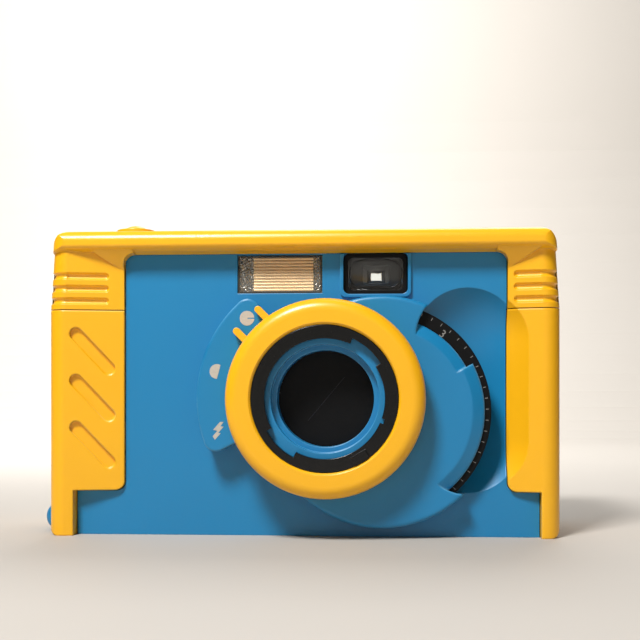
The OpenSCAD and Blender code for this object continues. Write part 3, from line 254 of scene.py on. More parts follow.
def board_laminate(name, colour, copper):
    """Glass laminate under green lacquer: copper tracks stand up as paler bands 0.8 mm apart."""
    material, tree, output, place = blank(name)
    turned = put(tree, "Mapping", {"Vector": place, "Rotation": (math.radians(90), 0, 0)})
    tracks = put(tree, "TexBrick", {
        "Vector": turned.outputs[0], "Color1": (1, 1, 1, 1), "Color2": (0.7, 0.7, 0.7, 1),
        "Mortar": (0, 0, 0, 1), "Scale": per_mm(6), "Mortar Size": 0.03, "Row Height": 0.13})
    weave = put(tree, "TexNoise", {"Vector": place, "Scale": per_mm(0.4), "Detail": 2})
    under = put(tree, "Mix", {0: tracks.outputs["Fac"], 6: linear(copper), 7: linear(colour)},
                data_type="RGBA")
    bump = put(tree, "Bump", {"Height": tracks.outputs["Fac"], "Distance": -0.05 * MM})
    rough = put(tree, "MapRange", {"Value": weave.outputs["Fac"], "To Min": 0.25, "To Max": 0.5})
    shader = put(tree, "BsdfPrincipled", {
        "Base Color": under.outputs[2], "Roughness": rough.outputs[0], "Normal": bump.outputs[0]})
    tree.links.new(shader.outputs[0], output.inputs[0])
    return material


def print_ink(name, colour):
    """Pad print on plastic: a matt film whose cover thins in small patches half a millimetre wide."""
    material, tree, output, place = blank(name)
    cover = put(tree, "TexNoise", {"Vector": place, "Scale": per_mm(0.5), "Detail": 3})
    thin = put(tree, "HueSaturation", {"Color": linear(colour), "Value": 0.78})
    paint = put(tree, "Mix", {0: cover.outputs["Fac"], 6: thin.outputs[0], 7: linear(colour)},
                data_type="RGBA")
    rough = put(tree, "MapRange", {"Value": cover.outputs["Fac"], "To Min": 0.5, "To Max": 0.75})
    bump = put(tree, "Bump", {"Height": cover.outputs["Fac"], "Distance": 0.01 * MM})
    shader = put(tree, "BsdfPrincipled", {
        "Base Color": paint.outputs[2], "Roughness": rough.outputs[0], "Normal": bump.outputs[0]})
    tree.links.new(shader.outputs[0], output.inputs[0])
    return material


def shade_lined_reflector(name, colour, line):
    """Satin aluminium of a warm tone with painted shade: fine level lines 0.8 mm apart painted darker, standing
    for the shade between the flash's ribs.
    A wave of scale s repeats every pi / 10 s."""
    material, tree, output, place = blank(name)
    wander = put(tree, "TexNoise", {"Vector": place, "Scale": per_mm(5), "Detail": 2})
    lines = put(tree, "TexWave", {
        "Vector": place, "Scale": per_mm(0.8) * math.pi / 10, "Distortion": 0.6, "Detail": 1,
        "Detail Scale": 0.4}, wave_type="BANDS", bands_direction="Z", wave_profile="SIN")
    # painted shade: the level lines are darkened towards the line colour, broken up by the wander noise
    painted_shade = put(tree, "MapRange", {
        "Value": lines.outputs["Fac"], "From Min": 0.0, "From Max": 0.4, "To Min": 1.2, "To Max": 0})
    broken_painted_shade = put(tree, "Math", {0: painted_shade.outputs[0], 1: wander.outputs["Fac"]}, operation="MULTIPLY")
    paint = put(tree, "Mix", {0: broken_painted_shade.outputs[0], 6: linear(colour), 7: linear(line)}, data_type="RGBA")
    bump = put(tree, "Bump", {"Height": lines.outputs["Fac"], "Distance": 0.03 * MM})
    shader = put(tree, "BsdfPrincipled", {
        "Base Color": paint.outputs[2], "Metallic": 0.55, "Roughness": 0.4, "Normal": bump.outputs[0]})
    tree.links.new(shader.outputs[0], output.inputs[0])
    return material


def make_finishes():
    """One material for each slot of the record, and those that only single pieces have."""
    looks = bpy.context.scene.toy_camera
    FINISHES.update({
        # each moulding's second colour is its paler edge band, partly wear and partly painted highlight; the hub's
        # is paler still
        "yellow_abs": moulded_abs("yellow_abs", looks.yellow, "#FFE27A", 0.3, 0.010),
        "blue_abs": moulded_abs("blue_abs", looks.blue, "#7CC3E6", 0.34, 0.012),
        "soft_blue_abs": moulded_abs(
            "soft_blue_abs", looks.blue, "#8FD0EE", 0.34, 0.012, edge=looks.hub_edge),
        "soft_yellow_abs": moulded_abs(
            "soft_yellow_abs", looks.yellow, "#FFE27A", 0.3, 0.010, edge=looks.grip_edge),
        "black_abs": moulded_abs("black_abs", looks.black, "#2A2B2E", 0.5, 0.022, shine=0.14),
        "black_gloss_abs": moulded_abs("black_gloss_abs", "#08090A", "#2A2C30", 0.2, 0.004, shine=0.3),
        "plated_steel": plated_steel("plated_steel", "#C9C7C1", 0.28),
        "blackened_steel": plated_steel("blackened_steel", "#2B2B2D", 0.45),
        "clear_acrylic": clear_plastic("clear_acrylic", "#F4F8F8", 0.02, 1.49),
        "flash_glass": clear_plastic("flash_glass", "#FBF4E6", 0.05, 1.47),
        "window_acrylic": thin_clear("window_acrylic", "#F6EBD6", 0.07, 0.08),
        # the reflector's finish carries painted shade lines; its second colour is that shade
        "reflector_foil": shade_lined_reflector("shade_lined_reflector", "#EBCB9A", "#7A5A34"),
        "crinkled_foil": crinkled_foil("crinkled_foil", "#8F8B85"),
        "board_laminate": board_laminate("board_laminate", "#1F5A38", "#4E8A4A"),
        "capacitor_sleeve": moulded_abs("capacitor_sleeve", "#1B1C22", "#4A4C55", 0.35, 0.004),
        "lamp_plastic": clear_plastic("lamp_plastic", "#E0401C", 0.08, 1.49),
        "cell_jacket": plated_steel("cell_jacket", "#8B9098", 0.4),
    })


# Surfaces


def grid_faces(rows, columns, close_rows=False, close_columns=False):
    """Quads of a grid of points, rows first; a closed direction joins its last line to its first."""
    i = np.arange(rows if close_rows else rows - 1)
    j = np.arange(columns if close_columns else columns - 1)
    a = i[:, None] * columns + j[None, :]
    b = i[:, None] * columns + (j[None, :] + 1) % columns
    c = ((i[:, None] + 1) % rows) * columns + (j[None, :] + 1) % columns
    d = ((i[:, None] + 1) % rows) * columns + j[None, :]
    return np.stack([a, b, c, d], -1).reshape(-1, 4)


def polar(radius, angle):
    """Points (x, z) at a radius and angles."""
    return radius * np.stack([np.cos(angle), np.sin(angle)], -1)


def rounded(middle, width, height, radius):
    """Outline of a rectangle with round corners: four quarter circles one after the other."""
    t = np.linspace(0, math.pi / 2, 9)
    turns = (t[None, :] + np.arange(4)[:, None] * math.pi / 2).ravel()
    signs = np.repeat([[1, 1], [-1, 1], [-1, -1], [1, -1]], len(t), 0)
    return np.asarray(middle) + signs * (np.array([width, height]) / 2 - radius) + polar(radius, turns)


def knurled(profile, centre, teeth, deep):
    """Surface of turning with round teeth: the closed profile (radius, height) goes round an upright
    axis, x = c + r cos t and y = c + r sin t; in its outer millimetre r dips by deep times cos^2 of half
    the tooth's angle."""
    radius, height = np.asarray(profile, float).T
    t = np.linspace(0, 2 * math.pi, teeth * 6, endpoint=False)[:, None]
    share = np.clip(radius - (radius.max() - 1), 0, 1)
    r = radius - deep * share * np.cos(0.5 * teeth * t) ** 2
    points = np.stack([r * np.cos(t), r * np.sin(t), np.broadcast_to(height, r.shape)], -1)
    points += np.asarray(centre, float)
    return points.reshape(-1, 3), grid_faces(*r.shape, close_rows=True, close_columns=True)


def slab(u, v, front, back):
    """Two sheets over one grid, y = front(x, z) and y = back(x, z), with a wall round their edge."""
    x, z = np.meshgrid(u, v, indexing="ij")
    rows, columns = x.shape
    sheets = [np.stack([x, np.broadcast_to(sheet(x, z), x.shape), z], -1).reshape(-1, 3)
              for sheet in (front, back)]
    size = rows * columns
    grid = np.arange(size).reshape(rows, columns)
    rim = np.concatenate([grid[:-1, 0], grid[-1, :-1], grid[:0:-1, -1], grid[0, :0:-1]])
    after = np.roll(rim, -1)
    inner = grid_faces(rows, columns)
    wall = np.stack([rim, after, after + size, rim + size], -1)
    return np.concatenate(sheets), np.concatenate([inner, inner[:, ::-1] + size, wall])


def stamped(outline, y_front, y_back, soft=0.0):
    """A flat shape: the outline (x, z) carried from y_front to y_back, drawn in by soft at the front."""
    outline = np.asarray(outline, float)
    count = len(outline)
    along = np.roll(outline, -1, 0) - np.roll(outline, 1, 0)
    along /= np.linalg.norm(along, axis=1, keepdims=True)
    area = np.sum(outline[:, 0] * np.roll(outline[:, 1], -1) - outline[:, 1] * np.roll(outline[:, 0], -1))
    inward = np.stack([-along[:, 1], along[:, 0]], -1) * np.sign(area)
    bend = np.linspace(math.pi / 2, 0, 5) if soft else np.zeros(1)
    deep = math.copysign(soft, y_back - y_front)
    steps = [(soft * (1 - math.cos(t)), y_front + deep * (1 - math.sin(t))) for t in bend]
    rings = [np.stack([*(outline + inward * d).T, np.full(count, y)], -1)[:, [0, 2, 1]]
             for d, y in [*steps, (0.0, y_back)]]
    faces = grid_faces(len(rings), count, close_columns=True).tolist()
    last = (len(rings) - 1) * count
    caps = [list(range(count)), list(range(last + count - 1, last - 1, -1))]
    return np.concatenate(rings), faces + caps


def hoop(outline, thick, y_front, y_back):
    """A frame of round section: a half ellipse of this thickness carried along a closed outline (x, z)."""
    along = np.roll(outline, -1, 0) - np.roll(outline, 1, 0)
    along /= np.linalg.norm(along, axis=1, keepdims=True)
    out = np.stack([along[:, 1], -along[:, 0]], -1)
    t = np.linspace(0, math.pi, 9)
    flat = outline[:, None, :] + thick / 2 * np.cos(t)[None, :, None] * out[:, None, :]
    y = np.broadcast_to(y_back + (y_front - y_back) * np.sin(t), flat.shape[:2])
    points = np.stack([flat[..., 0], y, flat[..., 1]], -1).reshape(-1, 3)
    return points, grid_faces(len(outline), len(t), close_rows=True, close_columns=True)


def bars(middles, along, across, half_long, half_wide, y_front, y_back):
    """Many small bars at once: eight corners for each middle (x, z), along and across it."""
    signs = np.array([[a, b] for a in (-1, 1) for b in (-1, 1)], float)
    flat = (middles[:, None, :] + signs[None, :, :1] * half_long * along[:, None, :]
            + signs[None, :, 1:] * half_wide * across[:, None, :])
    levels = [np.stack([flat[..., 0], np.full(flat.shape[:2], y), flat[..., 1]], -1)
              for y in (y_front, y_back)]
    points = np.concatenate(levels, 1)
    box = np.array([[0, 1, 3, 2], [4, 6, 7, 5], [0, 4, 5, 1], [1, 5, 7, 3], [3, 7, 6, 2], [2, 6, 4, 0]])
    faces = box[None] + 8 * np.arange(len(middles))[:, None, None]
    return points.reshape(-1, 3), faces.reshape(-1, 4)


def numeral(text, height, middle, turn, y_front, y_back):
    """A plain figure as a flat mesh: the font's outline, centred, turned and put on its face."""
    curve = bpy.data.curves.new("figure", "FONT")
    curve.body = text
    curve.extrude = 0.5  # any depth does: only its two sides are told apart below
    maker = bpy.data.objects.new("figure", curve)
    bpy.context.scene.collection.objects.link(maker)
    mesh = maker.to_mesh()
    flat = np.empty(len(mesh.vertices) * 3)
    mesh.vertices.foreach_get("co", flat)
    faces = [list(polygon.vertices) for polygon in mesh.polygons]
    maker.to_mesh_clear()
    bpy.data.objects.remove(maker)
    bpy.data.curves.remove(curve)
    co = flat.reshape(-1, 3)
    plane = (co[:, :2] - (co[:, :2].max(0) + co[:, :2].min(0)) / 2) * height / np.ptp(co[:, 1])
    c, n = math.cos(turn), math.sin(turn)
    x = middle[0] + c * plane[:, 0] - n * plane[:, 1]
    z = middle[1] + n * plane[:, 0] + c * plane[:, 1]
    return np.stack([x, np.where(co[:, 2] > 0, y_front, y_back), z], -1), faces


# Pieces and stage


def piece_mesh(name, points, faces):
    """A mesh object at the origin from points in metres: doubles merged, faces turned outwards."""
    mesh = bpy.data.meshes.new(name)
    mesh.from_pydata(np.asarray(points, float).tolist(), [], [list(face) for face in faces])
    build = bmesh.new()
    build.from_mesh(mesh)
    bmesh.ops.remove_doubles(build, verts=build.verts, dist=1e-7)
    bmesh.ops.dissolve_degenerate(build, edges=build.edges, dist=1e-8)
    bmesh.ops.recalc_face_normals(build, faces=build.faces)
    build.to_mesh(mesh)
    build.free()
    piece = bpy.data.objects.new(name, mesh)
    bpy.context.scene.collection.objects.link(piece)
    return piece


def add_piece(name, points, faces, body, slot, replaced=(), finish=None, smooth_angle=35):
    """A piece from points in millimetres: it rides on a body and takes a slot's finish or its own."""
    piece = piece_mesh(name, np.asarray(points, float) * MM, faces)
    piece.data.materials.append(finish or FINISHES[slot])
    piece.data.shade_smooth()
    piece.data.set_sharp_from_angle(angle=math.radians(smooth_angle))
    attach(piece, body)
    if replaced:
        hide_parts(*replaced)
    return piece


def add_lamp(name, place, aim, size, power):
    """A square soft lamp that faces a point."""
    light = bpy.data.lights.new(name, "AREA")
    light.size = size
    light.energy = power
    lamp = bpy.data.objects.new(name, light)
    lamp.location = place
    lamp.rotation_euler = (Vector(aim) - Vector(place)).to_track_quat("-Z", "Y").to_euler()
    bpy.context.scene.collection.objects.link(lamp)


def add_sweep(looks):
    """Floor with a quarter round and a wall at both ends: the profile (y, z) carried along x."""
    bend, far, near, half, high = 0.35, 0.9, -3.2, 14.0, 1.8
    turn = np.linspace(0, math.pi / 2, 17)
    rise = bend - bend * np.cos(turn)
    run = bend * np.sin(turn) - bend
    y = np.concatenate([[near], near - run[::-1], far + run, [far]])
    z = np.concatenate([[high], rise[::-1], rise, [high]])
    x = np.array([-half, half])
    grid = np.stack(np.broadcast_arrays(x[:, None], y[None, :], z[None, :]), -1)
    sweep = piece_mesh("studio_sweep", grid.reshape(-1, 3), grid_faces(2, len(y)))
    material, tree, output, place = blank("painted_board")
    mottle = put(tree, "TexNoise", {"Vector": place, "Scale": per_mm(60), "Detail": 3})
    pale = put(tree, "HueSaturation", {"Color": linear(looks.floor), "Value": 0.97})
    paint = put(tree, "Mix", {0: mottle.outputs["Fac"], 6: pale.outputs[0], 7: linear(looks.floor)},
                data_type="RGBA")
    shader = put(tree, "BsdfPrincipled", {"Base Color": paint.outputs[2], "Roughness": 0.7})
    tree.links.new(shader.outputs[0], output.inputs[0])
    sweep.data.materials.append(material)
    sweep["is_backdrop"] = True


# Looks and operators


class ToyCameraLooks(bpy.types.PropertyGroup):
    """Colours and fine sizes of the camera, and the studio."""

    yellow: StringProperty(name="Yellow", description="Top, grips and ring, sRGB hex", default="#FBB814")
    blue: StringProperty(name="Blue", description="Front, drum and door, sRGB hex", default="#127EB2")
    black: StringProperty(name="Black", description="Film body and dial, sRGB hex", default="#0B0B0C")
    floor: StringProperty(name="Floor", description="Floor and backdrop, sRGB hex", default="#BDB7AF")
    ink: StringProperty(name="Ink", description="Printed icons, sRGB hex", default="#C3BDB2")
    dial_ink: StringProperty(name="Dial ink", description="Ticks and numbers, sRGB hex", default="#8E8C89")
    icon_size: FloatProperty(
        name="Icon size", description="Width of a printed icon", default=3.6 * MM, unit="LENGTH")
    icon_ring: FloatProperty(
        name="Icon ring", description="Distance of the icons from the lens axis", default=27.6 * MM,
        unit="LENGTH")
    dial_ticks: IntProperty(name="Dial ticks", description="Ticks round the scale dial", default=60, min=12)
    flash_ribs: IntProperty(name="Flash ribs", description="Ribs of the flash window", default=11, min=3)
    lens_ball: FloatProperty(
        name="Finder lens ball", description="Radius of the finder lens's hollow", default=33 * MM,
        unit="LENGTH")
    lens_rise: FloatProperty(
        name="Finder lens rise", description="Its axis above the lens's middle", default=6 * MM,
        unit="LENGTH")
    knurl_pitch: FloatProperty(
        name="Knurl pitch", description="Width of one tooth of a knob", default=1.5 * MM, unit="LENGTH")
    thumb_ridges: IntProperty(name="Thumb ridges", description="Ridges on the door", default=6, min=1)
    lug_reach: FloatProperty(
        name="Lug reach", description="Finger lug of the battery cover past its tab", default=1.9 * MM,
        unit="LENGTH")
    # these radii also set how wide the pale edge band is, partly wear and partly painted highlight
    edge: FloatProperty(
        name="Edge", description="Radius of the moulded edges", default=0.35 * MM, unit="LENGTH")
    hub_edge: FloatProperty(
        name="Hub edge", description="Radius of the drum's and icon plate's edges", default=1.0 * MM,
        unit="LENGTH")
    grip_edge: FloatProperty(
        name="Grip edge", description="Radius of the end covers' edges and slots", default=0.7 * MM,
        unit="LENGTH")
    camera_focal: FloatProperty(
        name="Focal length", description="Lens of the camera that takes the picture, in mm", default=57.4)
    camera_away: FloatProperty(
        name="Camera distance", description="From the middle of the body", default=274 * MM, unit="LENGTH")
    camera_side: FloatProperty(
        name="Camera side", description="To the right of the middle", default=20 * MM, unit="LENGTH")
    camera_turn: FloatProperty(
        name="Camera turn", description="To the left of straight ahead", default=math.radians(3.5),
        subtype="ANGLE")
    camera_shift: FloatProperty(
        name="Camera shift", description="Upward shift of the frame, as a share of it", default=0.123)


class TOYCAM_OT_mouldings(bpy.types.Operator):
    """Gives every solid of the frame the finish of its slot"""

    bl_idname = "toycam.mouldings"
    bl_label = "Finish the mouldings"

    def execute(self, context):
        make_finishes()
        for name, node in frame["nodes"].items():
            for slot in node.material_slots:
                slot.material = FINISHES[SOFT_EDGED.get(name, SLOT_OF[name])]
        return {"FINISHED"}


class TOYCAM_OT_icons(bpy.types.Operator):
    """Three printed signs on the icon plate: a disc with a slit, a half disc and a plain bolt"""

    bl_idname = "toycam.icons"
    bl_label = "Print the icons"

    def execute(self, context):
        looks = context.scene.toy_camera
        lens = axis_point("selector_turn")[[0, 2]] / MM
        face = corners("hub_cover")[0][1] / MM
        size, film = looks.icon_size / MM / 2, 0.05
        ink = print_ink("pale_grey_ink", looks.ink)
        slit = np.radians(np.linspace(4, 356, 60))
        half = np.radians(np.linspace(60, 270, 40))
        # each sign's angle round the lens axis in degrees, and its outline
        signs = {
            "icon_slit_disc": (134.5, np.concatenate([polar(size, slit), [[0.1, -0.12], [0.1, 0.12]]])),
            "icon_half_disc": (166.0, polar(size, half)),
            "icon_bolt": (196.5, size * np.array([
                [0.25, 1.2], [-0.7, 0.1], [-0.1, 0.0], [-0.75, -0.75], [-0.45, -1.25], [0.35, -0.35],
                [0.0, -0.3], [0.75, 0.55], [0.3, 0.6], [0.75, 1.2]])),
        }
        for name, (angle, outline) in signs.items():
            middle = lens + polar(looks.icon_ring / MM, np.radians([angle]))[0]
            points, faces = stamped(outline + middle, face - film, face + film)
            add_piece(name, points, faces, "camera", "reflector_foil", finish=ink)
        return {"FINISHED"}


class TOYCAM_OT_dial_marks(bpy.types.Operator):
    """Printed ticks and plain numbers on the scale dial, and the fine line across its plain field"""

    bl_idname = "toycam.dial_marks"
    bl_label = "Print the dial"

    def execute(self, context):
        looks = context.scene.toy_camera
        low, high = corners("scale_dial")
        centre = axis_point("dial_turn")[[0, 2]] / MM
        rim = (high[2] - low[2]) / 2 / MM
        face, film = low[1] / MM, 0.03
        ink = print_ink("dial_white_ink", looks.dial_ink)
        tick_inset, tick_half_long, tick_half_wide = 0.95, 0.36, 0.075
        number_inset, number_height, first_number, number_step = 2.45, 1.9, 112, 30
        line_lean, line_half_long, line_half_wide = 50.0, 7.0, 0.05
        t = np.linspace(0, 2 * math.pi, looks.dial_ticks, endpoint=False) + math.radians(1.5)
        out, side = polar(1, t), polar(1, t + math.pi / 2)
        points, faces = bars(centre + (rim - tick_inset) * out, out, side, tick_half_long, tick_half_wide,
                             face - film, face + film)
        add_piece("dial_ticks", points, faces, "dial", "reflector_foil", finish=ink)
        for k in range(7):
            angle = math.radians(first_number - number_step * k)
            spot = centre + polar(rim - number_inset, np.array([angle]))[0]
            points, faces = numeral(str(k + 1), number_height, spot, angle - math.pi / 2,
                                    face - film, face + film)
            add_piece(f"dial_number_{k + 1:02d}", points, faces, "dial", "reflector_foil", finish=ink)
        lens = axis_point("selector_turn")[[0, 2]] / MM
        lean = np.radians(np.array([line_lean]))
        points, faces = bars(lens[None], polar(1, lean), polar(1, lean + math.pi / 2), line_half_long,
                             line_half_wide, face - 0.02, face + film)
        add_piece("dial_score_line", points, faces, "dial", "black_abs",
                  finish=FINISHES["capacitor_sleeve"])
        return {"FINISHED"}


class TOYCAM_OT_flash(bpy.types.Operator):
    """Ribbed flash window in its gasket, the ribbed diffuser behind it and crinkled foil at both ends"""

    bl_idname = "toycam.flash"
    bl_label = "Fit the flash"

    def execute(self, context):
        looks = context.scene.toy_camera
        low, high = (corner / MM for corner in corners("flash_window"))
        # depths behind the window's front, heights of the ribs, and widths of the foil, all in mm
        pane, rib_foot, rib, diffuser, diffuser_rib, foil = 0.6, 0.85, 0.07, 1.15, 0.21, 1.65
        margin, foil_left, foil_right, foil_gap = 0.4, 3.9, 2.2, 0.1
        ribs = looks.flash_ribs
        pitch = (high[2] - low[2] - 2 * margin) / ribs

        def rounds(z):
            """Low rounds side by side: 1 - w^2, where w goes from -1 to 1 across each rib."""
            w = 2 * np.clip((z - low[2] - margin) / pitch % 1, 0, 1) - 1
            return 1 - w * w

        def crumpled(x, z):
            """Sum of crossing sines of odd wavelengths: a foil that was pressed by hand."""
            return (low[1] + foil + 0.12 * np.sin(5.1 * x + 3.3 * z) + 0.1 * np.sin(7.7 * z - 4.1 * x)
                    + 0.08 * np.abs(np.sin(3.91 * x + 1.9 * z)))

        u = np.linspace(low[0], high[0], 12)
        v = np.linspace(low[2], high[2], 16 * ribs + 17)
        points, faces = slab(u, v, lambda x, z: np.full_like(x, low[1] + pane),
                             lambda x, z: low[1] + rib_foot + rib * rounds(z))
        add_piece("flash_lens", points, faces, "camera", "flash_glass", replaced=("flash_window",),
                  finish=FINISHES["window_acrylic"])
        middle = np.array([low[0] + high[0], low[2] + high[2]]) / 2
        points, faces = hoop(rounded(middle, high[0] - low[0] - 0.5, high[2] - low[2] - 0.5, 0.4), 0.45,
                             low[1] + pane, low[1] + 0.95)
        add_piece("flash_gasket", points, faces, "camera", "black_abs")
        u = np.linspace(low[0] + foil_left, high[0] - foil_right, 12)
        v = v[(v > low[2] + 0.15) & (v < high[2] - 0.15)]
        points, faces = slab(u, v, lambda x, z: low[1] + diffuser - diffuser_rib * rounds(z),
                             lambda x, z: np.full_like(x, high[1] - 0.2))
        # its finish has painted shade lines across it
        add_piece("flash_diffuser", points, faces, "camera", "reflector_foil")
        v = np.linspace(low[2] + 0.2, high[2] - 0.2, 40)
        for name, x0, x1 in (("foil_left", low[0] + foil_gap, low[0] + foil_left),
                             ("foil_right", high[0] - foil_right, high[0] - foil_gap)):
            points, faces = slab(np.linspace(x0, x1, 24), v, crumpled, lambda x, z: crumpled(x, z) + 0.08)
            add_piece(name, points, faces, "camera", "reflector_foil", finish=FINISHES["crinkled_foil"],
                      smooth_angle=12)
        return {"FINISHED"}


class TOYCAM_OT_finder(bpy.types.Operator):
    """Hollow-ground front lens of the finder and the thin line of its rim"""

    bl_idname = "toycam.finder"
    bl_label = "Fit the finder"

    def execute(self, context):
        looks = context.scene.toy_camera
        low, high = (corner / MM for corner in corners("finder_lens"))
        ball, rise = looks.lens_ball / MM, looks.lens_rise / MM
        x_mid, z_mid = (low[0] + high[0]) / 2, (low[2] + high[2]) / 2
        # glass at the axis, radius of the rim's wire and how far it stands out, all in mm
        thick, wire, proud, wire_inset = 0.5, 0.09, 0.02, np.array([0.35, 0.25])
        squareness = 0.75

        def hollow(x, z):
            """Sphere sag about a raised axis: s = d^2 / 2R, so the tube's far end shows small and high."""
            return low[1] + thick + ((x - x_mid) ** 2 + (z - z_mid - rise) ** 2) / (2 * ball)

        points, faces = slab(np.linspace(low[0], high[0], 40), np.linspace(low[2], high[2], 30),
                             lambda x, z: np.full_like(x, low[1]), hollow)
        add_piece("finder_front_lens", points, faces, "camera", "clear_acrylic", replaced=("finder_lens",))
        t = np.linspace(0, 2 * math.pi, 96, endpoint=False)
        reach = (high - low)[[0, 2]] / 2 - wire_inset
        spread = np.stack([np.cos(t), np.sin(t)], -1)
        oval = np.sign(spread) * np.abs(spread) ** squareness * reach
        section = np.linspace(0, 2 * math.pi, 8, endpoint=False)
        points = np.stack([
            x_mid + oval[:, None, 0] + wire * np.cos(section) * spread[:, None, 0],
            np.broadcast_to(low[1] - proud + wire * np.sin(section), (len(t), len(section))),
            z_mid + oval[:, None, 1] + wire * np.cos(section) * spread[:, None, 1]], -1)
        add_piece("finder_lens_rim", points.reshape(-1, 3),
                  grid_faces(len(t), len(section), close_rows=True, close_columns=True),
                  "camera", "clear_acrylic", finish=FINISHES["black_gloss_abs"])
        return {"FINISHED"}


class TOYCAM_OT_knobs(bpy.types.Operator):
    """Knurled edges: the advance wheel and the rewind knob with its grip bar"""

    bl_idname = "toycam.knobs"
    bl_label = "Knurl the knobs"

    def execute(self, context):
        looks = context.scene.toy_camera
        deep, soft, lip, dish = 0.45, 0.4, 1.2, 0.3
        for name, joint, node, body in (
                ("advance_thumbwheel", "advance_turn", "advance_wheel", "advance"),
                ("rewind_knob_knurled", "rewind_turn", "rewind_knob", "rewind")):
            low, high = (corner / MM for corner in corners(node))
            x, y = axis_point(joint)[:2] / MM
            rim, z0, z1 = (high[0] - low[0]) / 2, low[2], high[2]
            teeth = max(24, round(2 * math.pi * rim / looks.knurl_pitch * MM))
            profile = [[0, z0], [rim - soft, z0], [rim - 0.3 * soft, z0 + 0.3 * soft], [rim, z0 + soft],
                       [rim, z1 - soft], [rim - 0.3 * soft, z1 - 0.3 * soft], [rim - soft, z1],
                       [rim - lip, z1], [rim - lip - 0.4, z1 - dish], [0.4 * rim, z1 - dish], [0, z1 - dish]]
            points, faces = knurled(profile, (x, y, 0), teeth, deep)
            add_piece(name, points, faces, body, SLOT_OF[node], replaced=(node,))
            if node == "rewind_knob":
                bar = rounded((x, y), 1.45 * rim, 3.0, 1.4)
                points, faces = stamped(bar, z1, z1 - 0.6, 0.35)
                add_piece("rewind_grip_bar", points[:, [0, 2, 1]], faces, body, SLOT_OF[node])
        return {"FINISHED"}


class TOYCAM_OT_back(bpy.types.Operator):
    """Back of the camera: raised field, cassette window and thumb ridges on the door, eyepiece rim"""

    bl_idname = "toycam.back"
    bl_label = "Dress the back"

    def execute(self, context):
        looks = context.scene.toy_camera
        low, high = (corner / MM for corner in corners("film_door"))
        face, wide, tall = high[1], high[0] - low[0], high[2] - low[2]
        middle = np.array([(low[0] + high[0]) / 2, (low[2] + high[2]) / 2])
        blue = SLOT_OF["film_door"]
        # sizes across and up the door, in mm
        field = np.array([wide - 16, tall - 14])
        window, window_up, window_lap = np.array([9, 22]), 4, 0.6
        ridge_w, ridge_h, ridge_taper, ridge_pitch = 1.2, 11, 0.7, 2.2
        ridge_from = np.array([high[0] - 12.5, low[2] + 12])
        points, faces = hoop(rounded(middle, *field, 5), 1.6, face + 0.45, face - 0.1)
        add_piece("door_field_rim", points, faces, "door", blue)
        x_case = axis_point("rewind_turn")[0] / MM
        spot = np.array([x_case, middle[1] + window_up])
        points, faces = stamped(rounded(spot, *window, 2.5), face + 0.3, face - 0.2, 0.25)
        add_piece("cassette_window", points, faces, "door", "clear_acrylic",
                  finish=clear_plastic("smoked_acrylic", "#3A3F45", 0.05, 1.49))
        points, faces = hoop(rounded(spot, *(window + window_lap), 2.8), 1.4, face + 0.6, face - 0.1)
        add_piece("cassette_window_rim", points, faces, "door", blue, finish=FINISHES["black_abs"])
        for k in range(looks.thumb_ridges):
            ridge = rounded(ridge_from - [ridge_pitch * k, 0], ridge_w, ridge_h - ridge_taper * k, 0.58)
            points, faces = stamped(ridge, face + 0.7, face - 0.1, 0.5)
            add_piece(f"thumb_ridge_{k + 1}", points, faces, "door", blue)
        low, high = (corner / MM for corner in corners("eyepiece"))
        spot = np.array([low[0] + high[0], low[2] + high[2]]) / 2
        rear = corners("top_cover")[1][1] / MM
        points, faces = hoop(rounded(spot, 8.2, 6.6, 1.6), 1.8, rear + 0.9, rear - 0.1)
        add_piece("eyepiece_rim", points, faces, "camera", "black_abs")
        low, high = (corner / MM for corner in corners("ready_lamp"))
        spot = np.array([low[0] + high[0], low[2] + high[2]]) / 2
        points, faces = hoop(rounded(spot, 4.4, 4.4, 2.2), 0.9, rear + 0.35, rear - 0.1)
        add_piece("ready_lamp_rim", points, faces, "camera", "black_abs")
        return {"FINISHED"}


class TOYCAM_OT_cover_lug(bpy.types.Operator):
    """Finger lug on the end of the battery cover"""

    bl_idname = "toycam.cover_lug"
    bl_label = "Fit the cover's lug"

    def execute(self, context):
        looks = context.scene.toy_camera
        low, high = (corner / MM for corner in corners("battery_cover"))
        reach, y_mid = looks.lug_reach / MM, (low[1] + high[1]) / 2
        top, half = high[2] + 0.6, (high[1] - low[1]) / 2 - 1.2
        root, end_share = 0.8, 0.4
        t = np.linspace(-math.pi / 2, math.pi / 2, 25)
        u = np.linspace(-1, 1, 41)
        swell = (1 - u ** 4) ** 0.5
        # a rounded ridge: half ellipses across; at both ends the reach falls to nothing, and the height
        # to its end share
        x = low[0] + root - (reach + root) * swell[:, None] * np.cos(t)
        tall = (top - low[2]) / 2 * (end_share + (1 - end_share) * swell)
        z = (low[2] + top) / 2 + tall[:, None] * np.sin(t)
        y = np.broadcast_to((y_mid + half * u)[:, None], x.shape)
        points = np.stack([x, y, z], -1).reshape(-1, 3)
        faces = grid_faces(len(u), len(t), close_columns=True).tolist()
        count = len(t)
        faces += [list(range(count)), list(range(count * len(u) - 1, count * (len(u) - 1) - 1, -1))]
        add_piece("battery_cover_lug", points, faces, "cell_cover", SLOT_OF["battery_cover"])
        return {"FINISHED"}


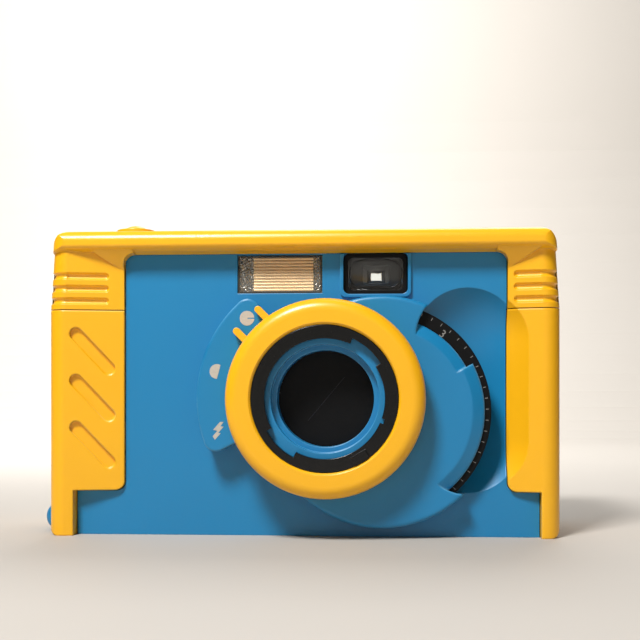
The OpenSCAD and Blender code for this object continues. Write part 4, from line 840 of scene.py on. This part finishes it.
class TOYCAM_OT_stage(bpy.types.Operator):
    """Pale sweep, soft studio lamps and the camera"""

    bl_idname = "toycam.stage"
    bl_label = "Set the stage"

    def execute(self, context):
        looks = context.scene.toy_camera
        add_sweep(looks)
        for lamp in LAMPS:
            add_lamp(*lamp)
        world = bpy.data.worlds.new("studio_air")
        world.use_nodes = True
        air = world.node_tree.nodes["Background"]
        air.inputs["Color"].default_value = linear("#F1EFEA")
        air.inputs["Strength"].default_value = 0.08
        context.scene.world = world
        eye = bpy.data.cameras.new("studio_camera")
        eye.lens = looks.camera_focal
        eye.shift_y = looks.camera_shift
        eye.clip_start = 0.01
        camera = bpy.data.objects.new("studio_camera", eye)
        lens_height = axis_point("selector_turn")[2]
        camera.location = (looks.camera_side, -looks.camera_away, lens_height)
        camera.rotation_euler = (math.radians(90), 0, looks.camera_turn)
        context.scene.collection.objects.link(camera)
        context.scene.camera = camera
        context.scene.view_settings.view_transform = "Standard"
        return {"FINISHED"}


class TOYCAM_PT_panel(bpy.types.Panel):
    """The camera's pieces and looks in the 3D view's sidebar"""

    bl_idname = "TOYCAM_PT_panel"
    bl_label = "Toy Camera"
    bl_space_type = "VIEW_3D"
    bl_region_type = "UI"
    bl_category = "Toy Camera"

    def draw(self, context):
        for key in ToyCameraLooks.__annotations__:
            self.layout.prop(context.scene.toy_camera, key)
        for operator in OPERATORS:
            self.layout.operator(operator.bl_idname)


OPERATORS = (TOYCAM_OT_mouldings, TOYCAM_OT_icons, TOYCAM_OT_dial_marks, TOYCAM_OT_flash,
             TOYCAM_OT_finder, TOYCAM_OT_knobs, TOYCAM_OT_back, TOYCAM_OT_cover_lug,
             TOYCAM_OT_stage)
CLASSES = (ToyCameraLooks, *OPERATORS, TOYCAM_PT_panel)


def register():
    """Makes the classes known to Blender and puts the looks on the scene."""
    for cls in CLASSES:
        bpy.utils.register_class(cls)
    bpy.types.Scene.toy_camera = PointerProperty(type=ToyCameraLooks)


def unregister():
    """Takes the looks and the classes away again."""
    del bpy.types.Scene.toy_camera
    for cls in reversed(CLASSES):
        bpy.utils.unregister_class(cls)


def main():
    """Makes every piece in order."""
    register()
    bpy.ops.toycam.mouldings()
    bpy.ops.toycam.icons()
    bpy.ops.toycam.dial_marks()
    bpy.ops.toycam.flash()
    bpy.ops.toycam.finder()
    bpy.ops.toycam.knobs()
    bpy.ops.toycam.back()
    bpy.ops.toycam.cover_lug()
    bpy.ops.toycam.stage()


if __name__ == "__main__":
    main()
